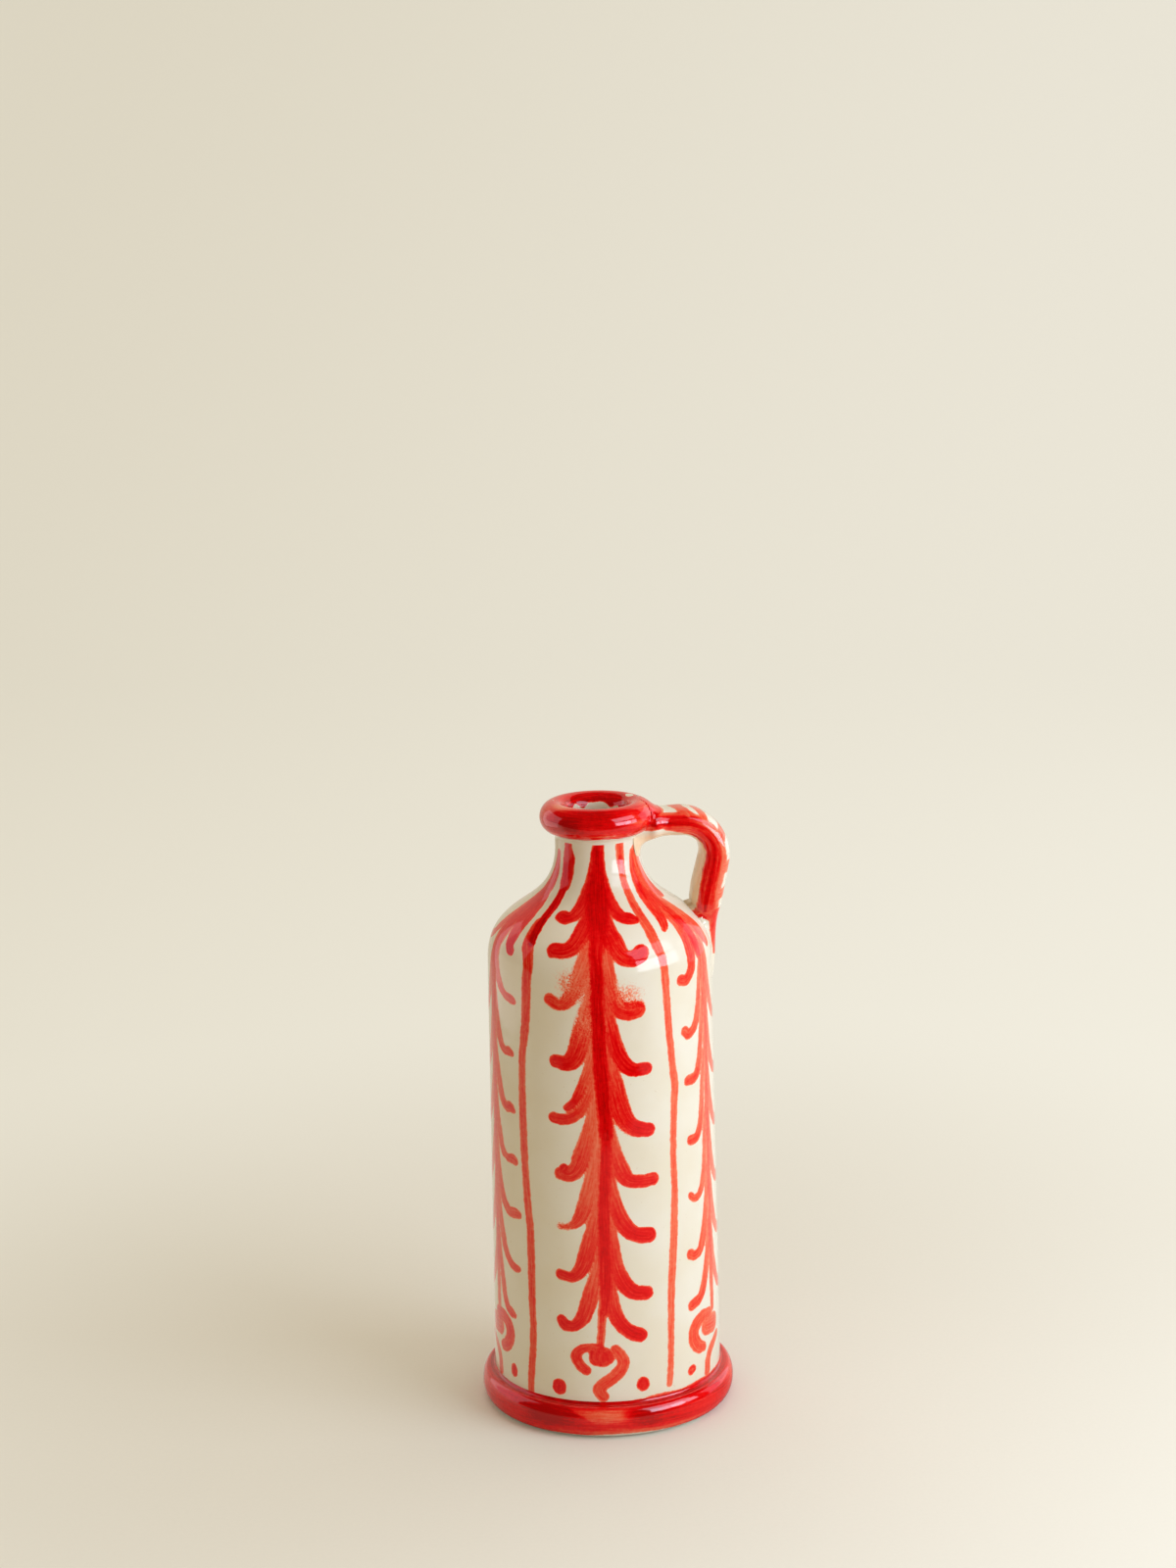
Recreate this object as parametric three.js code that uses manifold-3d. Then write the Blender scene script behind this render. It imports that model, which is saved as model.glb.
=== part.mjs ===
// Oil cruet: a wheel-thrown earthenware bottle with a rolled mouth, a rolled foot and a strap handle.
// Millimetres, +Z up. The origin is the centre of the flat base and the handle points along +X.
// The vessel is open at the mouth, and its clay members are luted together at flat rings.
import * as THREE from "three";
import { mergeVertices } from "three/addons/utils/BufferGeometryUtils.js";
import Module from "manifold-3d";

// Driving dimensions of the vessel, from the table up
const wallThickness = 5;
const baseThickness = 6;
const wallTopRadius = 45;
const wallTaper = 1.7;
const wallHeight = 186.3;
const shoulderRise = 46.4;
const shoulderHold = 26.3;
const neckHold = 27.8;
const neckRadius = 16.9;
const neckStraight = 4.9;
const neckFlare = 12.7;

// Driving dimensions of the rolled mouth and the rolled foot
const mouthRollHeight = 12.4;
const mouthRollOverhang = 6;
const mouthRollLedge = 0.8;
const footRollLift = 0.8;
const footRollHeight = 12.2;
const footRollReach = 4.8;
const footRollFlat = 0.6;

// Driving dimensions of the handle
const handleDropFromRim = 9.9;
const handleStandOut = 2.6;
const handleBendRadius = 14.1;
const handleLean = THREE.MathUtils.degToRad(11.5);
const strapWidth = 19;
const strapThickness = 11.3;
const strapSquareness = 2.7;
const upperRootReach = 4.1;
const upperRootFlare = 3.2;
const lowerJointRise = 20.2;
const tailDrop = 8.3;
const tailEndWidth = 7;
const tailEndThickness = 2.4;

// The gap kept at curved and slanted joints, which the glaze fills on the fired pot
const jointClearance = 0.3;

// Heights and radii that follow from them: 250 mm high in all
const wallFootRadius = wallTopRadius + wallTaper;
const neckStartHeight = wallHeight + shoulderRise;
const neckJointHeight = neckStartHeight - neckFlare;
const mouthRollUnderside = neckStartHeight + neckStraight;
const overallHeight = mouthRollUnderside + mouthRollHeight;
const mouthRollRadius = neckRadius + mouthRollOverhang;
const handleCentreHeight = overallHeight - handleDropFromRim;
const handleReach = wallTopRadius + handleStandOut;
const upperJointRadius = mouthRollRadius + upperRootReach;
const lowerJointHeight = wallHeight + lowerJointRise;
const tailEndHeight = wallHeight - tailDrop;

// How finely the round shapes are faceted
const roundSteps = 64;
const wallSteps = 3;
const shoulderSteps = 10;
const neckSteps = 5;
const rollQuarterSteps = 4;
const bendSteps = 12;
const sectionSteps = 20;
const rootSteps = 7;

// Colours of the fired pot: cream glaze, and red brushwork under the glaze
const creamGlaze = { color: 0xe9dfc2, roughness: 0.12, metalness: 0 };
const redGlaze = { color: 0xc31a12, roughness: 0.1, metalness: 0 };

const wasm = await Module();
wasm.setup();

// The shoulder's outside, from the straight wall up into the straight neck
const shoulderLine = new THREE.CubicBezierCurve(
  new THREE.Vector2(wallTopRadius, wallHeight),
  new THREE.Vector2(wallTopRadius, wallHeight + shoulderHold),
  new THREE.Vector2(neckRadius, neckStartHeight - neckHold),
  new THREE.Vector2(neckRadius, neckStartHeight),
);

// A point on the shoulder, moved in from its outside by the given depth
function shoulderPoint(t, depth) {
  const point = shoulderLine.getPoint(t);
  const tangent = shoulderLine.getTangent(t);
  return new THREE.Vector2(point.x - tangent.y * depth, point.y + tangent.x * depth);
}

// Where along the shoulder that moved line reaches a height
function shoulderParameterAt(height, depth) {
  let low = 0;
  let high = 1;
  for (let step = 0; step < 40; step += 1) {
    const middle = (low + high) / 2;
    if (shoulderPoint(middle, depth).y < height) {
      low = middle;
    } else {
      high = middle;
    }
  }
  return (low + high) / 2;
}

// Points along the shoulder from one height to another, with both ends exactly at those heights
function shoulderRun(fromHeight, toHeight, depth, steps) {
  const from = shoulderParameterAt(fromHeight, depth);
  const to = shoulderParameterAt(toHeight, depth);
  const points = [];
  for (let step = 0; step <= steps; step += 1) {
    points.push(shoulderPoint(THREE.MathUtils.lerp(from, to, step / steps), depth));
  }
  points[0].y = fromHeight;
  points[steps].y = toHeight;
  return points;
}

// Outside radius of the straight, slightly tapering wall
function wallRadiusAt(height) {
  return THREE.MathUtils.mapLinear(height, 0, wallHeight, wallFootRadius, wallTopRadius);
}

// A ring turned about +Z from a closed outline of radius and height, outside going up
function turnedRing(outline) {
  const closed = [...outline, outline[0]];
  return new THREE.LatheGeometry(closed, roundSteps).rotateX(Math.PI / 2);
}

// The same, as a solid that can be cut from others
function solidFrom(geometry) {
  const bare = geometry.clone();
  bare.deleteAttribute("normal");
  bare.deleteAttribute("uv");
  const merged = mergeVertices(bare, 1e-4);
  return new wasm.Manifold(new wasm.Mesh({
    numProp: 3,
    vertProperties: new Float32Array(merged.attributes.position.array),
    triVerts: new Uint32Array(merged.index.array),
  }));
}

function geometryFrom(solid) {
  const mesh = solid.getMesh();
  const geometry = new THREE.BufferGeometry();
  geometry.setAttribute("position", new THREE.BufferAttribute(mesh.vertProperties, 3));
  geometry.setIndex(new THREE.BufferAttribute(mesh.triVerts, 1));
  geometry.computeVertexNormals();
  return geometry;
}

// Straight wall, standing on the base slab
function bodyCylinderOutline() {
  const outside = [];
  const inside = [];
  for (let step = 0; step <= wallSteps; step += 1) {
    const height = THREE.MathUtils.lerp(baseThickness, wallHeight, step / wallSteps);
    outside.push(new THREE.Vector2(wallRadiusAt(height), height));
    inside.unshift(new THREE.Vector2(wallRadiusAt(height) - wallThickness, height));
  }
  return [...outside, ...inside];
}

// Shoulder dome, from the straight wall to the neck joint
function shoulderDomeOutline() {
  return [
    ...shoulderRun(wallHeight, neckJointHeight, 0, shoulderSteps),
    ...shoulderRun(neckJointHeight, wallHeight, wallThickness, shoulderSteps),
  ];
}

// Neck tube, from the neck joint to the underside of the mouth roll
function neckTubeOutline() {
  return [
    ...shoulderRun(neckJointHeight, neckStartHeight, 0, neckSteps),
    new THREE.Vector2(neckRadius, mouthRollUnderside),
    new THREE.Vector2(neckRadius - wallThickness, mouthRollUnderside),
    ...shoulderRun(neckStartHeight, neckJointHeight, wallThickness, neckSteps),
  ];
}

// Rolled mouth: a full roll standing out past the neck, with a slight ledge inside the bore
function mouthRollOutline(extra) {
  const innerRadius = neckRadius - wallThickness - mouthRollLedge;
  const centre = (mouthRollRadius + innerRadius) / 2;
  const halfWidth = (mouthRollRadius - innerRadius) / 2 + extra;
  const halfHeight = mouthRollHeight / 2 + extra;
  const middle = overallHeight - mouthRollHeight / 2;
  const points = [];
  for (let step = -rollQuarterSteps; step <= 2 * rollQuarterSteps; step += 1) {
    const angle = (step / rollQuarterSteps) * (Math.PI / 2);
    points.push(new THREE.Vector2(centre + halfWidth * Math.cos(angle), middle + halfHeight * Math.sin(angle)));
  }
  points.push(new THREE.Vector2(neckRadius - wallThickness, mouthRollUnderside - extra));
  return points;
}

// Rolled foot: a half-round coil laid round the wall, just clear of the surface the pot stands on
function footRollOutline() {
  const boreRadius = wallFootRadius + jointClearance;
  const undersideRadius = boreRadius + footRollFlat;
  const points = [new THREE.Vector2(boreRadius, footRollLift)];
  for (let step = -rollQuarterSteps; step <= rollQuarterSteps; step += 1) {
    const angle = (step / rollQuarterSteps) * (Math.PI / 2);
    const near = step < 0 ? undersideRadius : boreRadius;
    const radius = THREE.MathUtils.lerp(near, boreRadius + footRollReach, Math.cos(angle));
    points.push(new THREE.Vector2(radius, footRollLift + (footRollHeight / 2) * (1 + Math.sin(angle))));
  }
  return points;
}

// Everything the handle is pressed against, grown by the joint clearance
function vesselEnvelope() {
  const coreRadius = neckRadius / 4;
  const bottom = tailEndHeight - strapWidth;
  const neckTop = overallHeight - mouthRollHeight / 2;
  const wall = turnedRing([
    new THREE.Vector2(coreRadius, bottom),
    new THREE.Vector2(wallRadiusAt(bottom) + jointClearance, bottom),
    ...shoulderRun(wallHeight, neckStartHeight, -jointClearance, shoulderSteps + neckSteps),
    new THREE.Vector2(neckRadius + jointClearance, neckTop),
    new THREE.Vector2(coreRadius, neckTop),
  ]);
  return solidFrom(wall).add(solidFrom(turnedRing(mouthRollOutline(jointClearance))));
}

// A bar of rounded section swept through stations in the XZ plane.
// Each station has a centre, a direction of travel, a width along Y and a thickness.
function sweptBar(stations) {
  const positions = [];
  const indices = [];
  for (const { centre, direction, width, thickness } of stations) {
    for (let step = 0; step < sectionSteps; step += 1) {
      const angle = (step / sectionSteps) * 2 * Math.PI;
      const across = (width / 2) * roundedPart(Math.cos(angle));
      const out = (thickness / 2) * roundedPart(Math.sin(angle));
      positions.push(centre.x - direction.y * out, across, centre.y + direction.x * out);
    }
  }
  const lastRing = (stations.length - 1) * sectionSteps;
  for (let ring = 0; ring < lastRing; ring += sectionSteps) {
    for (let step = 0; step < sectionSteps; step += 1) {
      const next = (step + 1) % sectionSteps;
      indices.push(ring + step, ring + next, ring + sectionSteps + step);
      indices.push(ring + next, ring + sectionSteps + next, ring + sectionSteps + step);
    }
  }
  for (const { ring, flip } of [{ ring: 0, flip: true }, { ring: lastRing, flip: false }]) {
    for (let step = 1; step < sectionSteps - 1; step += 1) {
      const pair = flip ? [ring + step + 1, ring + step] : [ring + step, ring + step + 1];
      indices.push(ring, ...pair);
    }
  }
  const geometry = new THREE.BufferGeometry();
  geometry.setAttribute("position", new THREE.Float32BufferAttribute(positions, 3));
  geometry.setIndex(indices);
  geometry.computeVertexNormals();
  return geometry;
}

// Squares off a circle's sine or cosine, for a section between an ellipse and a rectangle
function roundedPart(value) {
  return Math.sign(value) * Math.abs(value) ** (2 / strapSquareness);
}

// Handle route: out from the mouth, round the bend, and down with a lean towards the shoulder
const bendCentre = new THREE.Vector2(handleReach - handleBendRadius, handleCentreHeight - handleBendRadius);
const legDirection = new THREE.Vector2(-Math.sin(handleLean), -Math.cos(handleLean));
const legStart = new THREE.Vector2(
  bendCentre.x + handleBendRadius * Math.cos(handleLean),
  bendCentre.y - handleBendRadius * Math.sin(handleLean),
);
const legLength = (legStart.y - lowerJointHeight) / Math.cos(handleLean);

function strapStation(centre, direction) {
  return { centre, direction, width: strapWidth, thickness: strapThickness };
}

function strapStations() {
  const outward = new THREE.Vector2(1, 0);
  const stations = [strapStation(new THREE.Vector2(upperJointRadius, handleCentreHeight), outward)];
  for (let step = 0; step <= bendSteps; step += 1) {
    const turned = THREE.MathUtils.lerp(0, Math.PI / 2 + handleLean, step / bendSteps);
    const centre = new THREE.Vector2(
      bendCentre.x + handleBendRadius * Math.sin(turned),
      bendCentre.y + handleBendRadius * Math.cos(turned),
    );
    stations.push(strapStation(centre, new THREE.Vector2(Math.cos(turned), -Math.sin(turned))));
  }
  stations.push(strapStation(legStart.clone().addScaledVector(legDirection, legLength), legDirection));
  return stations;
}

// Upper root: the bracket between the neck and the strap, deeper where it is pressed to the neck
function upperRootStations() {
  const outward = new THREE.Vector2(1, 0);
  const rootEnd = upperJointRadius - jointClearance;
  const stations = [];
  for (let step = 0; step <= rootSteps; step += 1) {
    const radius = THREE.MathUtils.lerp(neckRadius - wallThickness, rootEnd, step / rootSteps);
    const deeper = upperRootFlare * ((rootEnd - radius) / (rootEnd - neckRadius)) ** 2;
    stations.push({
      centre: new THREE.Vector2(radius, handleCentreHeight - deeper / 2),
      direction: outward,
      width: strapWidth,
      thickness: strapThickness + deeper,
    });
  }
  return stations;
}

// Lower root: the foot of the handle, pressed on the shoulder and drawn out into a tail down the wall
function lowerRootStations() {
  const start = legStart.clone().addScaledVector(legDirection, legLength + jointClearance);
  const end = new THREE.Vector2(wallRadiusAt(tailEndHeight), tailEndHeight);
  const third = (start.y - end.y) / 3;
  const route = new THREE.CubicBezierCurve(
    start,
    start.clone().addScaledVector(legDirection, third),
    new THREE.Vector2(end.x, end.y + third),
    end,
  );
  const stations = [];
  for (let step = 0; step <= rootSteps; step += 1) {
    const along = step / rootSteps;
    stations.push({
      centre: route.getPoint(along),
      direction: route.getTangent(along),
      width: THREE.MathUtils.lerp(strapWidth, tailEndWidth, along),
      thickness: THREE.MathUtils.lerp(strapThickness, tailEndThickness, along),
    });
  }
  return stations;
}

// A swept piece of the handle, cut to lie against the vessel
const envelope = vesselEnvelope();

function fittedToVessel(stations) {
  return geometryFrom(solidFrom(sweptBar(stations)).subtract(envelope));
}

const cruet = new THREE.Group();

function addPiece(name, geometry, look) {
  const piece = new THREE.Mesh(geometry, new THREE.MeshStandardMaterial(look));
  piece.name = name;
  cruet.add(piece);
}

const baseSlab = new THREE.CylinderGeometry(wallFootRadius, wallFootRadius, baseThickness, roundSteps);
baseSlab.rotateX(Math.PI / 2).translate(0, 0, baseThickness / 2);

addPiece("base_slab", baseSlab, creamGlaze);
addPiece("foot_roll", turnedRing(footRollOutline()), redGlaze);
addPiece("body_cylinder", turnedRing(bodyCylinderOutline()), creamGlaze);
addPiece("shoulder_dome", turnedRing(shoulderDomeOutline()), creamGlaze);
addPiece("neck_tube", turnedRing(neckTubeOutline()), creamGlaze);
addPiece("mouth_roll", turnedRing(mouthRollOutline(0)), redGlaze);
addPiece("handle_strap", fittedToVessel(strapStations()), redGlaze);
addPiece("handle_upper_root", fittedToVessel(upperRootStations()), creamGlaze);
addPiece("handle_lower_root", fittedToVessel(lowerRootStations()), redGlaze);

export default cruet;
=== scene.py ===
# Oil cruet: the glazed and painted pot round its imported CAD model, on a pale floor.
# Lengths in the values below are millimetres and angles are degrees; meshes are made in metres.
import math

import bpy
import numpy as np
from mathutils import Matrix, Vector


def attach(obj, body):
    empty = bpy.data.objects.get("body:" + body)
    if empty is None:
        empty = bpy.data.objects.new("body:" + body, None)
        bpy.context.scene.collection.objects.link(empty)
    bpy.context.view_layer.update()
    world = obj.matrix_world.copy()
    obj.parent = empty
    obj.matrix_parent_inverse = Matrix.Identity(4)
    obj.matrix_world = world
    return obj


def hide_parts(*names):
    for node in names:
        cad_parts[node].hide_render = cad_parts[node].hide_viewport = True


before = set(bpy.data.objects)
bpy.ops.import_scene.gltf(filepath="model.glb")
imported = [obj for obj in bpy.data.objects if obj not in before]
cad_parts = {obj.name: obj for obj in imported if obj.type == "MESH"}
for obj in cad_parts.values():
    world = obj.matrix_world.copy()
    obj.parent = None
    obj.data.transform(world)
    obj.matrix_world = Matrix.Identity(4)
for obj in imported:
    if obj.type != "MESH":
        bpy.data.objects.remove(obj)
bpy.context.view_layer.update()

MM = 0.001
TURN = 2 * math.pi

# The vessel, as in the part's source
WALL_THICKNESS = 5.0
FLOOR_HEIGHT = 6.0
WALL_TOP_RADIUS = 45.0
WALL_FOOT_RADIUS = 46.7
WALL_HEIGHT = 186.3
SHOULDER_HOLD = 26.3
NECK_HOLD = 27.8
NECK_RADIUS = 16.9
NECK_START = 232.7
INSIDE_CORNER = ((39.2, 7.2), (41.2, 10.0), (41.5, 14.0))

# The rolled mouth: an ellipse round the top of the neck
MOUTH_CENTRE = (17.0, 243.8)
MOUTH_HALF = (5.9, 6.2)
MOUTH_FILLET_START = 235.6
MOUTH_JOINT = -66
BORE_RADIUS = 11.9

# The rolled foot, and the wiped clay under it
FOOT_CENTRE = (48.6, 6.9)
FOOT_HALF = (3.2, 6.1)
FOOT_FILLET_TOP = 12.6
FOOT_POOL_TOP = 14.4
FOOT_JOINT = 96
FOOT_END = -84
FOOT_UNDERSIDE = (46.9, 0.85)
HIDDEN_RADIUS = 46.0
CLAY_TOP = 2.9
CLAY_EDGE = ((46.7, 0.7), (46.7, 0.25), (46.5, 0.0), (45.9, 0.0))

# The handle, and the tail that its lower end is drawn into
HANDLE_START = 12.6
HANDLE_HEIGHT = 240.1
HANDLE_REACH = 47.56
BEND_RADIUS = 14.1
LEG_LEAN = math.radians(11.5)
STRAP_WIDTH = 19.0
STRAP_THICKNESS = 11.3
STRAP_SQUARENESS = 2.7
UPPER_ROOT_REACH = 26.7
UPPER_ROOT_FLARE = 3.2
UPPER_ROOT_LIFT = 2.0
KNUCKLE_PLACE = 22.0
LOWER_JOINT_HEIGHT = 206.5
LEG_SWELL = 0.24
LEG_SWELL_TOP = 234.0
TAIL_HEIGHT = 178.0
TAIL_WIDTH = 7.0
TAIL_THICKNESS = 2.4
TAIL_FADE = 7.0

# How finely the pot is meshed
COLUMNS = 360
PAINT_STEP = 0.8
INSIDE_STEP = 2.4
ROLL_STEP = 0.6
SECTION_POINTS = 72

# Hand-made unevenness, always inwards so that the pot keeps its measured size
WOBBLE_DEPTH = 0.25
WOBBLE_WIDTH = 45.0
RING_DEPTH = 0.05
RING_PITCH = 3.4

# The side that the brushwork faces, as an angle about the vertical axis, and a degree's length on the wall
FRONT_TURN = -99.0
DEGREE_LENGTH = 0.8


def bezier(p0, p1, p2, p3, t):
    """Points on a cubic curve, one row for each value of t."""
    t = np.asarray(t, float)[:, None]
    p0, p1, p2, p3 = (np.asarray(p, float) for p in (p0, p1, p2, p3))
    return (1 - t) ** 3 * p0 + 3 * t * (1 - t) ** 2 * p1 + 3 * t * t * (1 - t) * p2 + t ** 3 * p3


def run_along(points):
    """The distance along a line from its first point to each of its points."""
    return np.concatenate([[0], np.cumsum(np.hypot(*np.diff(points, axis=0).T))])


def evened(points, step):
    """The same line with its points about one step apart."""
    points = np.asarray(points, float)
    run = run_along(points)
    count = max(int(round(run[-1] / step)), 1)
    at = np.linspace(0, run[-1], count + 1)
    return np.stack([np.interp(at, run, points[:, k]) for k in range(points.shape[1])], 1)


def closed(ring):
    return np.concatenate([ring, ring[:1]])


def wall_radius(height):
    return WALL_FOOT_RADIUS + (WALL_TOP_RADIUS - WALL_FOOT_RADIUS) * height / WALL_HEIGHT


def shoulder_line(depth=0.0):
    """The shoulder from the wall up to the neck, moved in from its outside by a depth."""
    t = np.linspace(0, 1, 801)
    line = bezier((WALL_TOP_RADIUS, WALL_HEIGHT), (WALL_TOP_RADIUS, WALL_HEIGHT + SHOULDER_HOLD),
                  (NECK_RADIUS, NECK_START - NECK_HOLD), (NECK_RADIUS, NECK_START), t)
    along = np.gradient(line, axis=0)
    along /= np.linalg.norm(along, axis=1)[:, None]
    return line + depth * np.stack([-along[:, 1], along[:, 0]], 1)


def ellipse(centre, half, angles):
    angles = np.radians(angles)
    return np.stack([centre[0] + half[0] * np.cos(angles), centre[1] + half[1] * np.sin(angles)], 1)


# Profiles of the turned pieces, as rows of radius and height

def body_profile():
    floor = [(0, FLOOR_HEIGHT), (18, FLOOR_HEIGHT), (35.6, FLOOR_HEIGHT), *INSIDE_CORNER]
    inside = [(wall_radius(z) - WALL_THICKNESS, z) for z in np.linspace(30, WALL_HEIGHT, 12)]
    outside = evened([(WALL_TOP_RADIUS, WALL_HEIGHT), (wall_radius(FOOT_FILLET_TOP), FOOT_FILLET_TOP)], PAINT_STEP)
    hidden = [(HIDDEN_RADIUS - 0.1, FOOT_FILLET_TOP), (HIDDEN_RADIUS - 0.1, CLAY_TOP + 0.1), (0, CLAY_TOP + 0.1)]
    return np.array([*floor, *inside, *outside, *hidden])


def shoulder_profile():
    outside = np.concatenate([shoulder_line(), [(NECK_RADIUS, MOUTH_FILLET_START)]])
    inside = shoulder_line(WALL_THICKNESS)
    inside = np.concatenate([[(WALL_TOP_RADIUS - WALL_THICKNESS, WALL_HEIGHT)], inside[inside[:, 1] > WALL_HEIGHT],
                             [(BORE_RADIUS, MOUTH_FILLET_START)]])
    return closed(np.concatenate([evened(inside, INSIDE_STEP), evened(outside, PAINT_STEP)[::-1]]))


def mouth_fillet(count):
    """The soft joint from the neck to the underside of the rolled mouth."""
    joint = ellipse(MOUTH_CENTRE, MOUTH_HALF, [MOUTH_JOINT])[0]
    return bezier((NECK_RADIUS, MOUTH_FILLET_START), (NECK_RADIUS, MOUTH_FILLET_START + 1.5),
                  joint - (1.25, 0.55), joint, np.linspace(0, 1, count))


def mouth_profile():
    roll = ellipse(MOUTH_CENTRE, MOUTH_HALF, np.linspace(MOUTH_JOINT, 180, 300))
    bore = bezier(roll[-1], roll[-1] - (0, 3.0), (BORE_RADIUS, 240.0), (BORE_RADIUS, MOUTH_FILLET_START),
                  np.linspace(0, 1, 30))
    return closed(evened(np.concatenate([mouth_fillet(9), roll[1:], bore[1:]]), ROLL_STEP)[::-1])


def foot_profile():
    joint = ellipse(FOOT_CENTRE, FOOT_HALF, [FOOT_JOINT])[0]
    wall = wall_radius(FOOT_POOL_TOP)
    fillet = bezier((wall + 0.01, FOOT_POOL_TOP), (wall + 0.03, FOOT_POOL_TOP - 1.1),
                    joint + (-0.8, -0.06), joint, np.linspace(0, 1, 12))
    roll = ellipse(FOOT_CENTRE, FOOT_HALF, np.linspace(FOOT_JOINT, FOOT_END, 240))
    hidden = [FOOT_UNDERSIDE, (FOOT_UNDERSIDE[0], CLAY_TOP + 0.1), (HIDDEN_RADIUS, CLAY_TOP + 0.1),
              (HIDDEN_RADIUS, FOOT_FILLET_TOP)]
    return closed(np.concatenate([evened(np.concatenate([fillet, roll[1:]]), ROLL_STEP), hidden]))


def clay_profile():
    return np.array([(0, CLAY_TOP), (40, CLAY_TOP), (46.5, CLAY_TOP), (46.7, CLAY_TOP - 0.3),
                     *bezier(*CLAY_EDGE, np.linspace(0, 1, 6)), (44, 0), (40, 0), (30, 0), (15, 0), (0, 0)])


# The outside of the vessel as one line, and the distance up the surface along it

OUTSIDE = np.concatenate([[(WALL_FOOT_RADIUS, 0)], shoulder_line(), [(NECK_RADIUS, MOUTH_FILLET_START + 2)]])
OUTSIDE_RUN = run_along(OUTSIDE)


def radius_at(height):
    return np.interp(height, OUTSIDE[:, 1], OUTSIDE[:, 0])


def climb_at(height):
    """How far up the surface a height is, from the foot."""
    return np.interp(height, OUTSIDE[:, 1], OUTSIDE_RUN)


class Tree:
    """Builds a node tree with short calls. All but node, split and kept return one output socket."""

    def __init__(self, tree):
        self.tree = tree

    def node(self, kind, settings=None, **inputs):
        made = self.tree.nodes.new(kind)
        for name, value in (settings or {}).items():
            setattr(made, name, value)
        for name, value in inputs.items():
            self.feed(made, name.replace("_", " "), value)
        return made

    def feed(self, made, socket, value):
        """socket is the input's name or its number."""
        if isinstance(value, bpy.types.NodeSocket):
            self.tree.links.new(value, made.inputs[socket])
        else:
            made.inputs[socket].default_value = value

    def operate(self, kind, settings, values):
        made = self.node(kind, settings)
        for place, value in enumerate(values):
            self.feed(made, place, value)
        return made.outputs[0]

    def math(self, operation, *values, clamp=False):
        return self.operate("ShaderNodeMath", {"operation": operation, "use_clamp": clamp}, values)

    def times(self, *values):
        return self.math("MULTIPLY", *values)

    def times_plus(self, *values):
        return self.math("MULTIPLY_ADD", *values)

    def vector(self, operation, *values):
        return self.operate("ShaderNodeVectorMath", {"operation": operation}, values)

    def scaled(self, vector, by):
        return self.node("ShaderNodeVectorMath", {"operation": "SCALE"}, Vector=vector, Scale=by).outputs[0]

    def combined(self, x, y, z):
        return self.node("ShaderNodeCombineXYZ", X=x, Y=y, Z=z).outputs[0]

    def split(self, vector):
        return self.node("ShaderNodeSeparateXYZ", Vector=vector).outputs

    def kept(self, name):
        """The three numbers that were written on the mesh under a name."""
        return self.split(self.node("ShaderNodeAttribute", {"attribute_name": name}).outputs["Vector"])

    def millimetres(self):
        """The place on the piece."""
        return self.scaled(self.node("ShaderNodeTexCoord").outputs["Object"], 1000.0)

    def noise(self, vector, scale, detail=2.0, roughness=0.5):
        return self.node("ShaderNodeTexNoise", Vector=vector, Scale=scale, Detail=detail,
                         Roughness=roughness).outputs[0]

    def eased(self, value, low, high, to_low=0.0, to_high=1.0):
        return self.node("ShaderNodeMapRange", {"interpolation_type": "SMOOTHSTEP"}, Value=value, From_Min=low,
                         From_Max=high, To_Min=to_low, To_Max=to_high).outputs[0]

    def mixed(self, amount, low, high):
        made = self.node("ShaderNodeMix", {"data_type": "RGBA"})
        for place, value in ((0, amount), (6, low), (7, high)):
            self.feed(made, place, value)
        return made.outputs[2]

    def surface(self, relief, strength, **finish):
        """Ends a material: a shader with its finish and a relief in millimetres."""
        bump = self.node("ShaderNodeBump", Strength=strength, Distance=MM, Height=relief)
        shader = self.node("ShaderNodeBsdfPrincipled", Normal=bump.outputs["Normal"], **finish)
        self.node("ShaderNodeOutputMaterial", Surface=shader.outputs["BSDF"])


def new_material(name):
    """A material with an empty tree, and the short calls that fill it."""
    material = bpy.data.materials.new(name)
    material.use_nodes = True
    material.node_tree.nodes.clear()
    return material, Tree(material.node_tree)


def placed(name, data):
    """A new object in the scene, at the origin."""
    made = bpy.data.objects.new(name, data)
    bpy.context.scene.collection.objects.link(made)
    return made


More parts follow.
